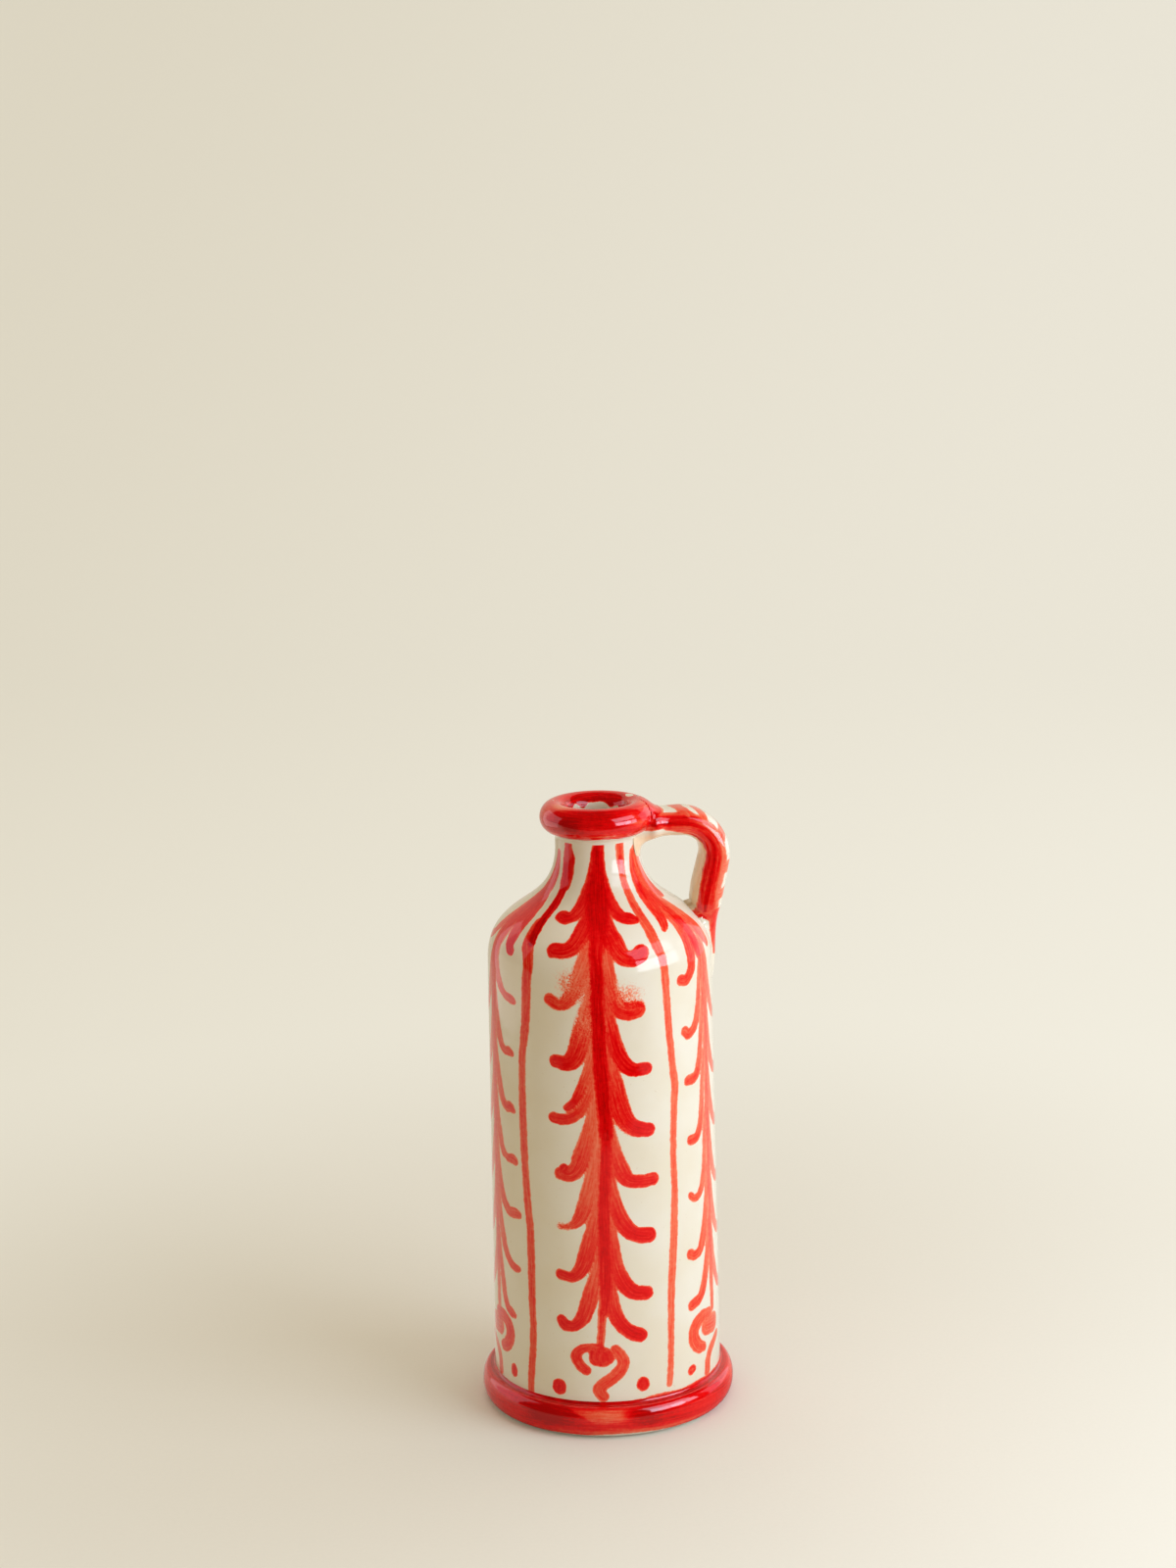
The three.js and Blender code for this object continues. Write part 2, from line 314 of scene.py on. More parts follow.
def turning_tree():
    """Geometry Nodes: turns a profile round the vertical axis, with the unevenness of hand throwing."""
    tree = bpy.data.node_groups.new("turned_on_the_wheel", "GeometryNodeTree")
    for name, kind in (("Profile", "Geometry"), ("Columns", "Int"), ("Wobble Depth", "Float"),
                       ("Wobble Width", "Float"), ("Ring Depth", "Float"), ("Ring Pitch", "Float"),
                       ("Glaze", "Material")):
        tree.interface.new_socket(name, in_out="INPUT", socket_type="NodeSocket" + kind)
    tree.interface.new_socket("Piece", in_out="OUTPUT", socket_type="NodeSocketGeometry")
    t = Tree(tree)
    given = t.node("NodeGroupInput").outputs
    rows = t.node("GeometryNodeAttributeDomainSize", Geometry=given["Profile"]).outputs["Point Count"]
    around = t.math("ADD", given["Columns"], 1.0)
    grid = t.node("GeometryNodeMeshGrid", Vertices_X=around, Vertices_Y=rows).outputs["Mesh"]
    index = t.node("GeometryNodeInputIndex").outputs[0]
    row = t.math("FLOORED_MODULO", index, rows)
    column = t.math("FLOOR", t.math("DIVIDE", t.math("ADD", index, 0.5), rows))
    sample = t.node("GeometryNodeSampleIndex", {"data_type": "FLOAT_VECTOR", "domain": "POINT"},
                    Geometry=given["Profile"], Value=t.node("GeometryNodeInputPosition").outputs[0], Index=row)
    radius, _, height = t.split(sample.outputs[0])
    angle = t.math("DIVIDE", t.times(column, TURN), given["Columns"])
    aim = t.combined(t.math("COSINE", angle), t.math("SINE", angle), 0.0)
    clean = t.vector("ADD", t.scaled(aim, radius), t.combined(0.0, 0.0, height))
    spot = t.scaled(clean, t.math("DIVIDE", 1.0, given["Wobble Width"]))
    wobble = t.times(t.noise(spot, 1.0, 1.0), given["Wobble Depth"])
    level = t.combined(t.math("DIVIDE", radius, given["Ring Pitch"]), 0.0,
                       t.math("DIVIDE", height, given["Ring Pitch"]))
    rings = t.times(t.noise(t.vector("ADD", level, t.scaled(spot, 0.6)), 1.0, 1.0), given["Ring Depth"])
    near_axis = t.math("MULTIPLY", radius, 50.0, clamp=True)
    inwards = t.times(t.math("ADD", wobble, rings), near_axis)
    place = t.vector("SUBTRACT", clean, t.scaled(aim, inwards))
    skin = t.node("GeometryNodeSetPosition", Geometry=grid, Position=place).outputs[0]
    skin = t.node("GeometryNodeMergeByDistance", Geometry=skin, Distance=1e-6).outputs[0]
    skin = t.node("GeometryNodeSetShadeSmooth", Geometry=skin).outputs[0]
    skin = t.node("GeometryNodeSetMaterial", Geometry=skin, Material=given["Glaze"]).outputs[0]
    skin = t.node("GeometryNodeRealizeInstances", Geometry=skin).outputs[0]
    t.node("NodeGroupOutput", Piece=skin)
    return tree


def plain_mesh(name, vertices, faces=(), edges=()):
    mesh = bpy.data.meshes.new(name)
    mesh.from_pydata([tuple(v) for v in vertices], list(edges), [tuple(f) for f in faces])
    mesh.update()
    return mesh


def outwards(mesh):
    """Turns the faces of a closed mesh outwards if they point in."""
    count = len(mesh.polygons)
    area = np.zeros(count)
    centre = np.zeros(count * 3)
    normal = np.zeros(count * 3)
    mesh.polygons.foreach_get("area", area)
    mesh.polygons.foreach_get("center", centre)
    mesh.polygons.foreach_get("normal", normal)
    volume = np.sum(area * np.sum(centre.reshape(-1, 3) * normal.reshape(-1, 3), axis=1))
    if volume < 0:
        mesh.flip_normals()


def turned(name, profile, glaze):
    """One turned piece as a plain mesh."""
    points = [(r * MM, 0, z * MM) for r, z in profile]
    line = plain_mesh(name + "_profile", points, edges=[(k, k + 1) for k in range(len(points) - 1)])
    source = placed(name + "_profile", line)
    modifier = source.modifiers.new("turning", "NODES")
    modifier.node_group = TURNING
    values = {"Columns": COLUMNS, "Wobble Depth": WOBBLE_DEPTH * MM, "Wobble Width": WOBBLE_WIDTH * MM,
              "Ring Depth": RING_DEPTH * MM, "Ring Pitch": RING_PITCH * MM, "Glaze": glaze}
    for socket in TURNING.interface.items_tree:
        if socket.in_out == "INPUT" and socket.name in values:
            modifier[socket.identifier] = values[socket.name]
    graph = bpy.context.evaluated_depsgraph_get()
    mesh = bpy.data.meshes.new_from_object(source.evaluated_get(graph))
    mesh.name = name
    bpy.data.objects.remove(source)
    outwards(mesh)
    mesh.set_sharp_from_angle(angle=math.radians(40))
    return placed(name, mesh)


def wrapped(angle):
    return (angle + math.pi) % TURN - math.pi


class Layer:
    """One coat of brushwork on a piece: for each vertex the depth inside the nearest stroke's edge,
    the place across that stroke, and how much pigment the brush left there."""

    FAR = -3.0

    def __init__(self, turn, climb, radius):
        self.turn, self.climb, self.radius = turn, climb, radius
        self.depth = np.full(turn.shape, self.FAR)
        self.across = np.zeros(turn.shape)
        self.near_tone = np.zeros(turn.shape)
        self.inner_tone = np.zeros(turn.shape)

    def stroke(self, line, half_widths, tones):
        """line has rows of turn in radians and climb; widths and tones go with its points."""
        line = np.asarray(line, float)
        middle = line[len(line) // 2, 0]
        reach = np.max(half_widths) + 3.5
        span = np.max(np.abs(wrapped(line[:, 0] - middle)))
        close = np.abs(wrapped(self.turn - middle)) < span + reach / np.maximum(self.radius, 1)
        close &= (self.climb > line[:, 1].min() - reach) & (self.climb < line[:, 1].max() + reach)
        where = np.nonzero(close)[0]
        if not len(where):
            return
        turn, climb, radius = self.turn[where], self.climb[where], self.radius[where]
        depth = np.full(where.shape, -1e3)
        across = np.zeros(where.shape)
        tone = np.zeros(where.shape)
        for k in range(len(line) - 1):
            from_x, from_y = radius * wrapped(turn - line[k, 0]), climb - line[k, 1]
            step_x, step_y = radius * wrapped(line[k + 1, 0] - line[k, 0]), line[k + 1, 1] - line[k, 1]
            t = np.clip((from_x * step_x + from_y * step_y) / (step_x ** 2 + step_y ** 2 + 1e-9), 0, 1)
            off_x, off_y = from_x - t * step_x, from_y - t * step_y
            away = np.hypot(off_x, off_y)
            width = half_widths[k] + t * (half_widths[k + 1] - half_widths[k])
            inside = width - away
            better = inside > depth
            side = np.sign(step_x * from_y - step_y * from_x)
            depth = np.where(better, inside, depth)
            across = np.where(better, side * away, across)
            tone = np.where(better, tones[k] + t * (tones[k + 1] - tones[k]), tone)
        cover = np.clip(depth / 0.9, 0, 1)
        cover = cover * cover * (3 - 2 * cover)
        on_top = tone * cover > self.inner_tone[where]
        self.inner_tone[where] = np.maximum(self.inner_tone[where], tone * cover)
        nearer = depth > self.depth[where]
        self.near_tone[where] = np.where(nearer, tone, self.near_tone[where])
        self.across[where] = np.where(nearer | on_top, across, self.across[where])
        self.depth[where] = np.maximum(self.depth[where], depth)

    def rows(self):
        tone = np.maximum(self.near_tone, self.inner_tone)
        return np.stack([np.maximum(self.depth, self.FAR), self.across, tone], 1)


def smooth_line(points):
    """A soft curve through a few points, in six steps from each to the next. Two points give a straight line."""
    points = np.asarray(points, float)
    if len(points) < 3:
        count = max(int(np.hypot(*(points[-1, :2] - points[0, :2])) / 1.5), 2)
        return points[0] + (points[-1] - points[0]) * np.linspace(0, 1, count)[:, None]
    ends = np.concatenate([[2 * points[0] - points[1]], points, [2 * points[-1] - points[-2]]])
    rows = []
    for k in range(1, len(ends) - 2):
        p0, p1, p2, p3 = ends[k - 1:k + 3]
        for t in np.linspace(0, 1, 7)[:-1]:
            rows.append(0.5 * (2 * p1 + (p2 - p0) * t + (2 * p0 - 5 * p1 + 4 * p2 - p3) * t * t
                               + (3 * p1 - p0 - 3 * p2 + p3) * t ** 3))
    return np.array([*rows, points[-1]])


def upright(layer, points):
    """A long brush line. points: degrees from the front, height, width, tone."""
    rows = smooth_line([(degrees * DEGREE_LENGTH, *rest) for degrees, *rest in points])
    line = np.stack([np.radians(rows[:, 0] / DEGREE_LENGTH + FRONT_TURN), climb_at(rows[:, 1])], 1)
    layer.stroke(line, rows[:, 2] / 2, rows[:, 3])


def patch(layer, degrees, height, points, tone):
    """A free brush mark. points: millimetres right of and above a place on the wall, and the width."""
    rows = smooth_line(points)
    turn = math.radians(degrees + FRONT_TURN)
    line = np.stack([turn + rows[:, 0] / radius_at(height), climb_at(height) + rows[:, 1]], 1)
    layer.stroke(line, rows[:, 2] / 2, np.full(len(rows), tone))


def leaf(layer, tone, points, pale=0.6, lead=14.0, stem=0.0):
    """One leaf, from beside the stem out to its tip: thin paint first, and more where the brush slows.
    The brush already touches the stem some way above the leaf."""
    at, height, width = points[0]
    if height < 219:
        points = ((stem + 0.55 * (at - stem), height + lead, width * 0.62),) + tuple(points)
    share = np.linspace(0, 1, len(points))
    load = np.interp(share, [0, 0.3, 0.55, 0.8, 1], [pale, pale + 0.08, 0.9, 1.04, 1.0])
    upright(layer, [(*point, tone * part) for point, part in zip(points, load)])


def root_mark(layer, degrees, tone=0.78):
    """The blob, bar and scroll under a stem."""
    for left, up, wide, tall in ((-5.2, 33.6, 7, 8.6), (-2.4, 33.4, 8.6, 8.8), (0, 33.4, 5.2, 7)):
        side, rise = left * 0.8, (tall - wide) / 2
        patch(layer, degrees, up, [(side, -rise, wide), (side, rise, wide)], tone + 0.06)
    patch(layer, degrees, 34, [(-3, 3.4, 3.6), (-7.4, 3.3, 3.6), (-11.2, 1.9, 4.2), (-12.8, -1, 4.7),
                               (-11.3, -4.2, 4.7), (-8.8, -6.4, 4.4)], tone)
    patch(layer, degrees, 34, [(3.1, 2.5, 4.2), (5.3, -0.4, 4.8), (6.2, -3.5, 5.2), (4.5, -7, 5.4),
                               (0.8, -10.3, 5.3), (-2.4, -12.6, 5.4), (-3.6, -15, 5.6), (-2.1, -17.3, 4.9)],
          tone - 0.14)


def side_root_mark(layer, degrees, flip, tone):
    """The same mark as it was painted under the fronds at both sides: a big loop and a scroll."""
    loop = [(1, 6, 5), (-4.8, 6.2, 5.4), (-8.6, 3.6, 6), (-9, -0.5, 6), (-6.4, -4, 5.4), (-3.2, -5.2, 3.8)]
    blob = [(-1, 1.6, 7.4), (5, 1.2, 8)]
    scroll = [(8.4, -4.4, 3.6), (2.6, -7.4, 4.2), (-0.3, -10.8, 4.4), (-1, -15.2, 4.6)]
    for points, part in ((loop, tone), (blob, tone - 0.08), (scroll, tone - 0.08)):
        patch(layer, degrees, 34, [(flip * right * 1.16, up * 1.14, wide * 1.1) for right, up, wide in points],
              part)


def dot(layer, degrees, height, wide=5.6, tall=6.2, tone=0.9):
    narrow = min(wide, tall)
    lean = max(wide - narrow, 0.0) / 2
    rise = max(tall - narrow, 0.0) / 2
    patch(layer, degrees, height, [(-lean, -rise - 0.1, narrow), (lean, rise + 0.1, narrow * 0.96)], tone)


# The front frond. Each row is a leaf: how much pigment, then degrees, height and width along it
FRONT_LEAVES = (
    (0.95, ((-3, 233, 3), (-7.5, 224, 3.8), (-12.5, 215, 6.4), (-18, 210.6, 6), (-24, 209.2, 6.6),
            (-28.4, 209.6, 6))),
    (0.92, ((-5, 212, 7), (-9, 206, 8.6), (-14, 201, 7.4), (-19, 199.2, 6.2), (-25, 199.1, 6.6))),
    (0.76, ((-5, 200, 7.5), (-8.5, 192, 8.6), (-12, 186, 8.2), (-16, 180.5, 6.2), (-21, 178.2, 5),
            (-26, 180, 5.2))),
    (0.88, ((-5, 182, 6), (-7, 174, 8), (-10, 165, 8.6), (-13, 158, 8), (-17, 155, 6.8), (-23.5, 155.3, 5.6))),
    (0.84, ((-6, 154, 4.6), (-8.2, 148.5, 4.6), (-11, 143.4, 4.4), (-14.5, 138.8, 3.8), (-18, 136.6, 3.2))),
    (0.84, ((-4, 149, 4), (-7, 141.5, 4.6), (-11, 135.8, 4.8), (-15, 133, 4.6), (-20, 131.6, 4.8),
            (-25, 132.1, 4.8))),
    (0.76, ((-5, 134, 5), (-7, 126, 7), (-10, 118, 8), (-13, 112, 7), (-17, 108.8, 5.4), (-22, 109.3, 5.4))),
    (0.74, ((-4.5, 115, 5), (-6.5, 106, 6.5), (-9, 98, 7), (-12, 92, 6), (-15, 88.9, 4.2), (-19, 87.4, 2.6),
            (-23, 87.4, 2.4))),
    (0.84, ((-4, 95, 4.5), (-6, 86, 6.5), (-9, 77, 7.5), (-12, 70.5, 6.5), (-17, 66.6, 4.8), (-23, 67.3, 4.6))),
    (0.90, ((-4, 72, 4), (-6.5, 64, 5.8), (-9, 56, 7), (-12, 49.6, 6), (-16.5, 46.1, 4.8), (-21, 46, 5),
            (-22.8, 48, 4.6))),
    (1.00, ((3, 232, 3.2), (5.5, 224, 3.6), (9.5, 216, 5.6), (13.5, 211.5, 6), (18, 209.3, 6.4), (22.5, 208.8, 6.4),
            (25.6, 208.3, 4.8))),
    (0.92, ((3, 210, 7), (7, 203, 8.8), (11, 197.9, 7.6), (15.6, 195.9, 6.4), (20.6, 196.8, 6.8),
            (23, 198.2, 6.2))),
    (0.86, ((2.5, 203, 6), (3.5, 192, 6.6), (5.5, 183, 7.4), (9, 177.6, 8), (13.6, 175.9, 8.4), (18, 176.2, 8))),
    (1.08, ((2.5, 180, 5), (4.5, 170, 6), (7, 161, 7), (11, 154.6, 6.6), (16, 151.7, 5.8), (22.5, 151.6, 5.4))),
    (1.00, ((3.5, 156, 6), (5.5, 147, 8), (8, 138, 8.6), (11, 131.6, 8), (16, 127.8, 6.8), (23, 126.4, 6))),
    (0.90, ((3, 128, 5), (5, 119, 6.6), (8, 111.6, 7.6), (12, 106.9, 6.2), (18, 105.7, 5.6), (25, 106, 5.4))),
    (0.98, ((2.5, 108, 5), (4.5, 99, 6), (7, 92, 7), (11, 86.6, 6.8), (16, 83.8, 6.6), (22, 83, 6.8))),
    (0.94, ((2.5, 90, 4.5), (3.5, 80, 5.6), (5, 71, 6.6), (9, 63.6, 6.9), (14, 59.9, 6.4), (20, 59, 6.2))),
    (1.02, ((2, 65, 4.5), (2.8, 56, 6), (5, 49.6, 6.3), (9, 45.1, 6.1), (13, 42.7, 6.1), (16.5, 41.6, 6.3))))

RIGHT_LEAVES = (
    (0.80, ((56, 231, 3.8), (52.5, 224, 4.4), (52, 216, 6.6), (49.5, 210, 7), (45.8, 205.8, 4.4),
            (42.6, 203.8, 2.6))),
    (0.62, ((60, 231, 5.4), (64, 223, 8.6), (69, 216.8, 9), (74.5, 213.4, 5.6))),
    (0.72, ((57, 208, 6), (55.5, 200, 6.5), (54.5, 193, 6), (53, 187, 5.2), (49, 183.8, 5), (45, 184.2, 4.8))),
    (0.62, ((61, 186, 3.4), (59.5, 177, 3.6), (58, 169, 4.4), (55, 163.5, 4.6), (50, 161.2, 4.2), (47, 163, 4.6))),
    (0.62, ((62, 165, 3.5), (60.5, 156, 4), (58.5, 148, 4.6), (55, 143, 4.6), (48.5, 142.3, 4.4))),
    (0.60, ((61.5, 140, 3.5), (60.5, 131, 4), (58.5, 122.5, 4.6), (55, 117.8, 4.6), (49.5, 117.5, 4.4))),
    (0.60, ((62.5, 117, 3), (62, 107, 3.8), (60, 98.5, 4.4), (56, 93.4, 3.8), (51.5, 92.8, 3.4), (48.5, 94.6, 3))),
    (0.60, ((63, 92, 3.5), (61.5, 83, 4.6), (59, 75, 5.4), (55.5, 70, 4.8), (51, 68.8, 4.4), (47.5, 70.2, 4.6))),
    (0.62, ((63, 68, 4), (61, 60, 5.2), (58, 53.5, 5.2), (54, 49.7, 5), (48, 48.3, 5))),
    (0.56, ((63, 212, 8), (67, 206, 9), (71, 200, 8), (75.5, 194.4, 4.8))),
    (0.56, ((68, 186, 5), (72, 175, 5.4), (78, 166, 5), (84, 163, 4.6))),
    (0.56, ((69, 160, 5), (72, 150, 5.4), (78, 142, 5), (85, 140, 4.6))),
    (0.56, ((69, 137, 5), (72, 128, 5.4), (78, 120, 5), (85, 118, 4.6))),
    (0.56, ((69, 114, 5), (72, 104, 5.4), (78, 96, 5), (85, 94, 4.6))),
    (0.56, ((69, 92, 5), (72, 82, 5.4), (78, 74, 5), (86, 72, 4.8))),
    (0.58, ((69, 68, 5), (72, 59, 5.4), (78, 51, 5), (86, 48, 5))))

LEFT_LEAVES = (
    (0.98, ((-64, 214, 7), (-59, 208, 8), (-57, 202, 7), (-56, 197.4, 5), (-53, 195.6, 3.4))),
    (0.66, ((-67.5, 196, 5), (-65.5, 188, 5.4), (-62, 181.5, 5), (-57, 177.8, 3.8), (-52, 177, 3.9),
            (-49.5, 176.3, 3.2))),
    (0.66, ((-67, 172, 4.5), (-65, 164, 5), (-62, 157.5, 4.8), (-58, 154.8, 3.6), (-54.5, 155, 4.2),
            (-51.5, 154.4, 2.8))),
    (0.66, ((-67.5, 150, 4.5), (-65, 142, 5), (-62, 135, 5), (-58, 131.8, 4.4), (-54, 132, 4.8), (-51, 131, 2.6))),
    (0.66, ((-67.5, 127, 4.4), (-65, 119, 5), (-62, 112.8, 4.6), (-57.5, 110.5, 3.6), (-53, 110.6, 4.4),
            (-50.5, 110, 3.8))),
    (0.66, ((-67.5, 107, 4.4), (-65.5, 99, 5), (-62, 92, 5), (-57, 88, 4.6), (-52, 88, 4.8), (-48.5, 88, 3.6))),
    (0.66, ((-66, 84, 4.4), (-63.5, 76, 5), (-60.5, 70, 4.8), (-56, 66.2, 4.2), (-52, 64.8, 3.8),
            (-49.5, 64.8, 3.2))),
    (0.68, ((-67, 66, 4), (-65, 58, 4.6), (-63, 51, 4.4), (-60, 46.4, 4.2), (-56.5, 45, 4.4), (-53.5, 44.2, 3))),
    (0.74, ((-73, 213, 6), (-77, 205, 6), (-82, 199, 4.8), (-87, 197, 4.2))),
    (0.60, ((-72, 190, 5), (-76, 179, 5.4), (-82, 170, 5), (-89, 167, 4.8))),
    (0.60, ((-72, 166, 5), (-76, 155, 5.4), (-82, 146, 5), (-89, 144, 4.8))),
    (0.60, ((-72, 142, 5), (-76, 132, 5.4), (-82, 123, 5), (-89, 121, 4.8))),
    (0.60, ((-72, 118, 5), (-76, 108, 5.4), (-82, 99, 5), (-89, 97, 4.8))),
    (0.60, ((-72, 95, 5), (-76, 85, 5.4), (-82, 76, 5), (-89, 74, 4.8))),
    (0.62, ((-72, 70, 5), (-76, 61, 5.4), (-82, 53, 5), (-89, 50, 4.8))))


# Stems and lines. Each row is one pull of the brush: its layer, then degrees, height, width and pigment along it
PULLS = (
    ("stems", ((2, 238, 4.2, 1.06), (0, 230, 5.8, 1.08), (-0.5, 220, 7.8, 1.1), (-0.5, 213, 10.6, 1.1),
               (-0.5, 208.5, 9.4, 1.06), (-1, 203.5, 7.6, 0.94), (-2, 198, 7, 0.96), (-1.7, 194, 5.8, 1.06),
               (-1.6, 188, 6, 1.16), (-1.8, 180, 6, 1.18), (-1.5, 170, 6, 1.18), (-1, 160, 6.2, 1.16),
               (-0.3, 150, 6.6, 1.16), (0.4, 141, 6.4, 1.18), (1.2, 132, 6.6, 1.16), (1.4, 125.5, 6.2, 1.16))),
    ("stems", ((1.2, 126, 5.6, 0.9), (1, 118, 5.8, 0.92), (0.3, 108, 5.6, 0.96), (-0.3, 98, 5.4, 1.02),
               (-0.5, 88, 5.8, 1.04), (-0.4, 78, 6.2, 1.02), (-0.2, 68, 6.2, 0.98), (-0.4, 58, 5.6, 0.92),
               (-1.2, 52, 4.6, 0.86))),
    ("stems", ((-2.2, 53, 3.8, 0.8), (-2.8, 45, 3.3, 0.78), (-3.6, 38, 3.4, 0.8))),
    ("leaves", ((-43, 236.4, 3.4, 0.95), (-42.6, 233, 4.4, 0.95), (-42, 229.6, 6.2, 1), (-41.6, 225, 5.9, 1),
                (-40.8, 220.5, 5.6, 0.96), (-40.5, 218.4, 4.6, 0.95))),
    ("leaves", ((-41.5, 217, 4, 1.2), (-41.5, 212, 4.2, 1.2), (-42, 208, 4.2, 1.2), (-41.4, 203, 4.4, 1.35),
                (-40.6, 200.6, 4.4, 1.3))),
    ("marks", ((-43, 207, 5.6, 0.7), (-42.5, 203, 6.2, 0.72), (-42, 199, 6, 0.72), (-40.5, 196.5, 5.6, 0.74),
               (-39, 191, 5, 0.74), (-39.8, 187, 4.9, 0.74), (-41, 170, 4.7, 0.7), (-42.8, 160, 4.1, 0.66),
               (-44, 151, 3.9, 0.62), (-44, 125, 4.2, 0.62), (-42.5, 100, 4, 0.62), (-40.4, 80, 4.1, 0.62),
               (-40.2, 55, 3.9, 0.64), (-39.8, 38, 3.7, 0.64), (-41.6, 22, 3.7, 0.64), (-41.8, 14, 3.4, 0.64))),
    ("stems", ((32, 237.4, 3.8, 0.7), (32, 228.5, 3.9, 0.68))),
    ("marks", ((32.4, 229, 3.3, 0.6), (32.5, 222, 3.3, 0.55), (33, 215, 3.6, 0.62), (32.5, 210, 4.2, 0.68),
               (32.3, 205, 4.8, 0.62), (32.5, 200, 4.6, 0.58), (34, 195, 4.2, 0.56), (34.5, 190, 3.8, 0.56),
               (35, 180, 3.6, 0.56), (36.5, 163, 3.5, 0.54), (38.5, 148, 3.7, 0.54), (39.3, 142, 4, 0.54),
               (38.5, 135, 3.6, 0.52), (37.3, 115, 3.3, 0.52), (37.6, 98, 3.5, 0.5), (36, 75, 4, 0.5),
               (34.2, 57, 3.6, 0.52), (33.6, 40, 3.3, 0.52), (33, 27, 3.2, 0.52), (32, 18.4, 3, 0.52))),
    ("stems", ((60, 214, 5, 0.66), (60.6, 206, 6.4, 0.8), (61, 198, 6, 0.84), (61.5, 192, 4.6, 0.84))),
    ("stems", ((64, 196, 5.4, 0.5), (65, 186, 6.4, 0.52), (66, 175, 6.4, 0.5), (66.6, 160, 5.8, 0.52),
               (66.6, 130, 5.2, 0.54), (67, 100, 4.8, 0.54), (66.8, 75, 5, 0.54), (67.6, 55, 4.4, 0.54),
               (68, 42, 4, 0.54))),
    ("stems", ((-63.5, 231, 2.6, 0.9), (-65, 226, 4.4, 0.9), (-66, 220, 6.8, 0.86), (-68, 211, 9.8, 0.84),
               (-69, 201, 9.2, 0.76), (-70, 190, 7, 0.66), (-70.5, 172, 6.2, 0.6), (-71, 150, 5.6, 0.6),
               (-71, 110, 5.2, 0.6), (-71, 70, 4.8, 0.6), (-70.5, 40, 4.2, 0.6))),
    ("marks", ((99, 170, 2.6, 0.7), (99.6, 160, 3.4, 0.7), (100.4, 130, 3.8, 0.7), (101, 95, 4, 0.68),
               (101.5, 55, 4.1, 0.7), (101, 15, 3.8, 0.68))))

# A stem at the back: height, width and pigment along it
BACK_STEM = ((237, 4.2, 1), (222, 6.6, 1.1), (212, 8.8, 1.1), (204, 6.6, 1.05), (180, 5.4, 1.1), (150, 5.4, 1.12),
             (120, 5.6, 1.05), (95, 5.6, 1), (70, 5.8, 0.96), (52, 4.4, 0.86), (38, 3.4, 0.8))

# Dots between the fronds: degrees, height, width, tallness and pigment
DOTS = ((-25, 19.5, 6.3, 6.8, 1), (17.5, 20.8, 5.6, 6.2, 0.9), (47, 21, 5.2, 4.2, 0.72), (93, 20, 5.4, 5.8, 0.7),
        (-54.7, 20.4, 4.4, 6, 0.86), (-93, 20.5, 5.4, 5.8, 0.8))


def paint_wall(turn, climb, radius):
    """All strokes on the wall, the shoulder and the neck, as the layers of leaves, stems and marks."""
    layers = {name: Layer(turn, climb, radius) for name in ("leaves", "stems", "marks")}
    leaves, stems, marks = layers.values()
    for tone, points in FRONT_LEAVES:
        leaf(leaves, tone, points, 0.88 if points[0][1] > 209 else 0.6)
    patch(leaves, -20.6, 111, [(0, 0, 4.2), (0.5, 0.6, 4)], 0.95)
    root_mark(marks, 0)
    for spot in DOTS:
        dot(marks, *spot)
    for name, points in PULLS:
        upright(layers[name], points)

    # The fronds at both sides, which start as broad streaks on the neck
    for table, low, stem in ((RIGHT_LEAVES, 195, 66.5), (LEFT_LEAVES, 198, -71)):
        for tone, points in table:
            leaf(leaves, tone, points, 0.76, 12 if points[0][1] < low else 1, stem)
    patch(stems, 52, 216, [(0, -2, 5.4), (0.4, 2, 5)], 0.78)
    side_root_mark(marks, 62, 1, 0.58)
    side_root_mark(marks, -71, -1, 0.7)

    # The back, painted in the same way: two more fronds and the lines between them
    chance = np.random.default_rng(11)
    for degrees in (-144, 142):
        for tone, points in FRONT_LEAVES:
            tone, lift, spread = tone * chance.uniform(0.85, 1), chance.uniform(-2, 2), chance.uniform(0.92, 1.08)
            fan = [(degrees - spread * at, height + lift, width) for at, height, width in points]
            leaf(leaves, tone, fan, 0.6, 14, degrees)
        upright(stems, [(degrees + chance.uniform(-1, 1), *point) for point in BACK_STEM])
        root_mark(marks, degrees - 1, 0.76)
        for aside in (-21, 20):
            dot(marks, degrees + aside, 20 + chance.uniform(-1, 1))
    for degrees in (-107, 179):
        upright(marks, [(degrees + chance.uniform(-1.5, 1.5), height, 4 + chance.uniform(-0.4, 0.6), 0.7)
                        for height in (236, 222, 207, 190, 165, 135, 105, 75, 45, 15)])
    return leaves, stems, marks


def write(mesh, name, *columns):
    """Keeps three numbers for each vertex on the mesh, for the glaze to read."""
    attribute = mesh.attributes.new(name, "FLOAT_VECTOR", "POINT")
    attribute.data.foreach_set("vector", np.stack(columns, 1).astype(np.float32).ravel())


def polar(mesh):
    """The turn about the axis in radians, the radius and the height of each vertex."""
    places = np.zeros(len(mesh.vertices) * 3)
    mesh.vertices.foreach_get("co", places)
    x, y, z = places.reshape(-1, 3).T / MM
    return np.arctan2(y, x), np.hypot(x, y), z


# Where the red is rubbed and smeared: degrees and height, width and height of the spot, and how much
RUBBED_SPOTS = ((-17, 187, 5, 7, 1.0), (-10, 184, 4, 9, 0.6), (14, 182.5, 6.5, 5, 1.0),
                (-9, 172, 4, 9, 0.7), (-22, 88, 4, 3, 0.4), (10, 131, 4, 8, 0.3))


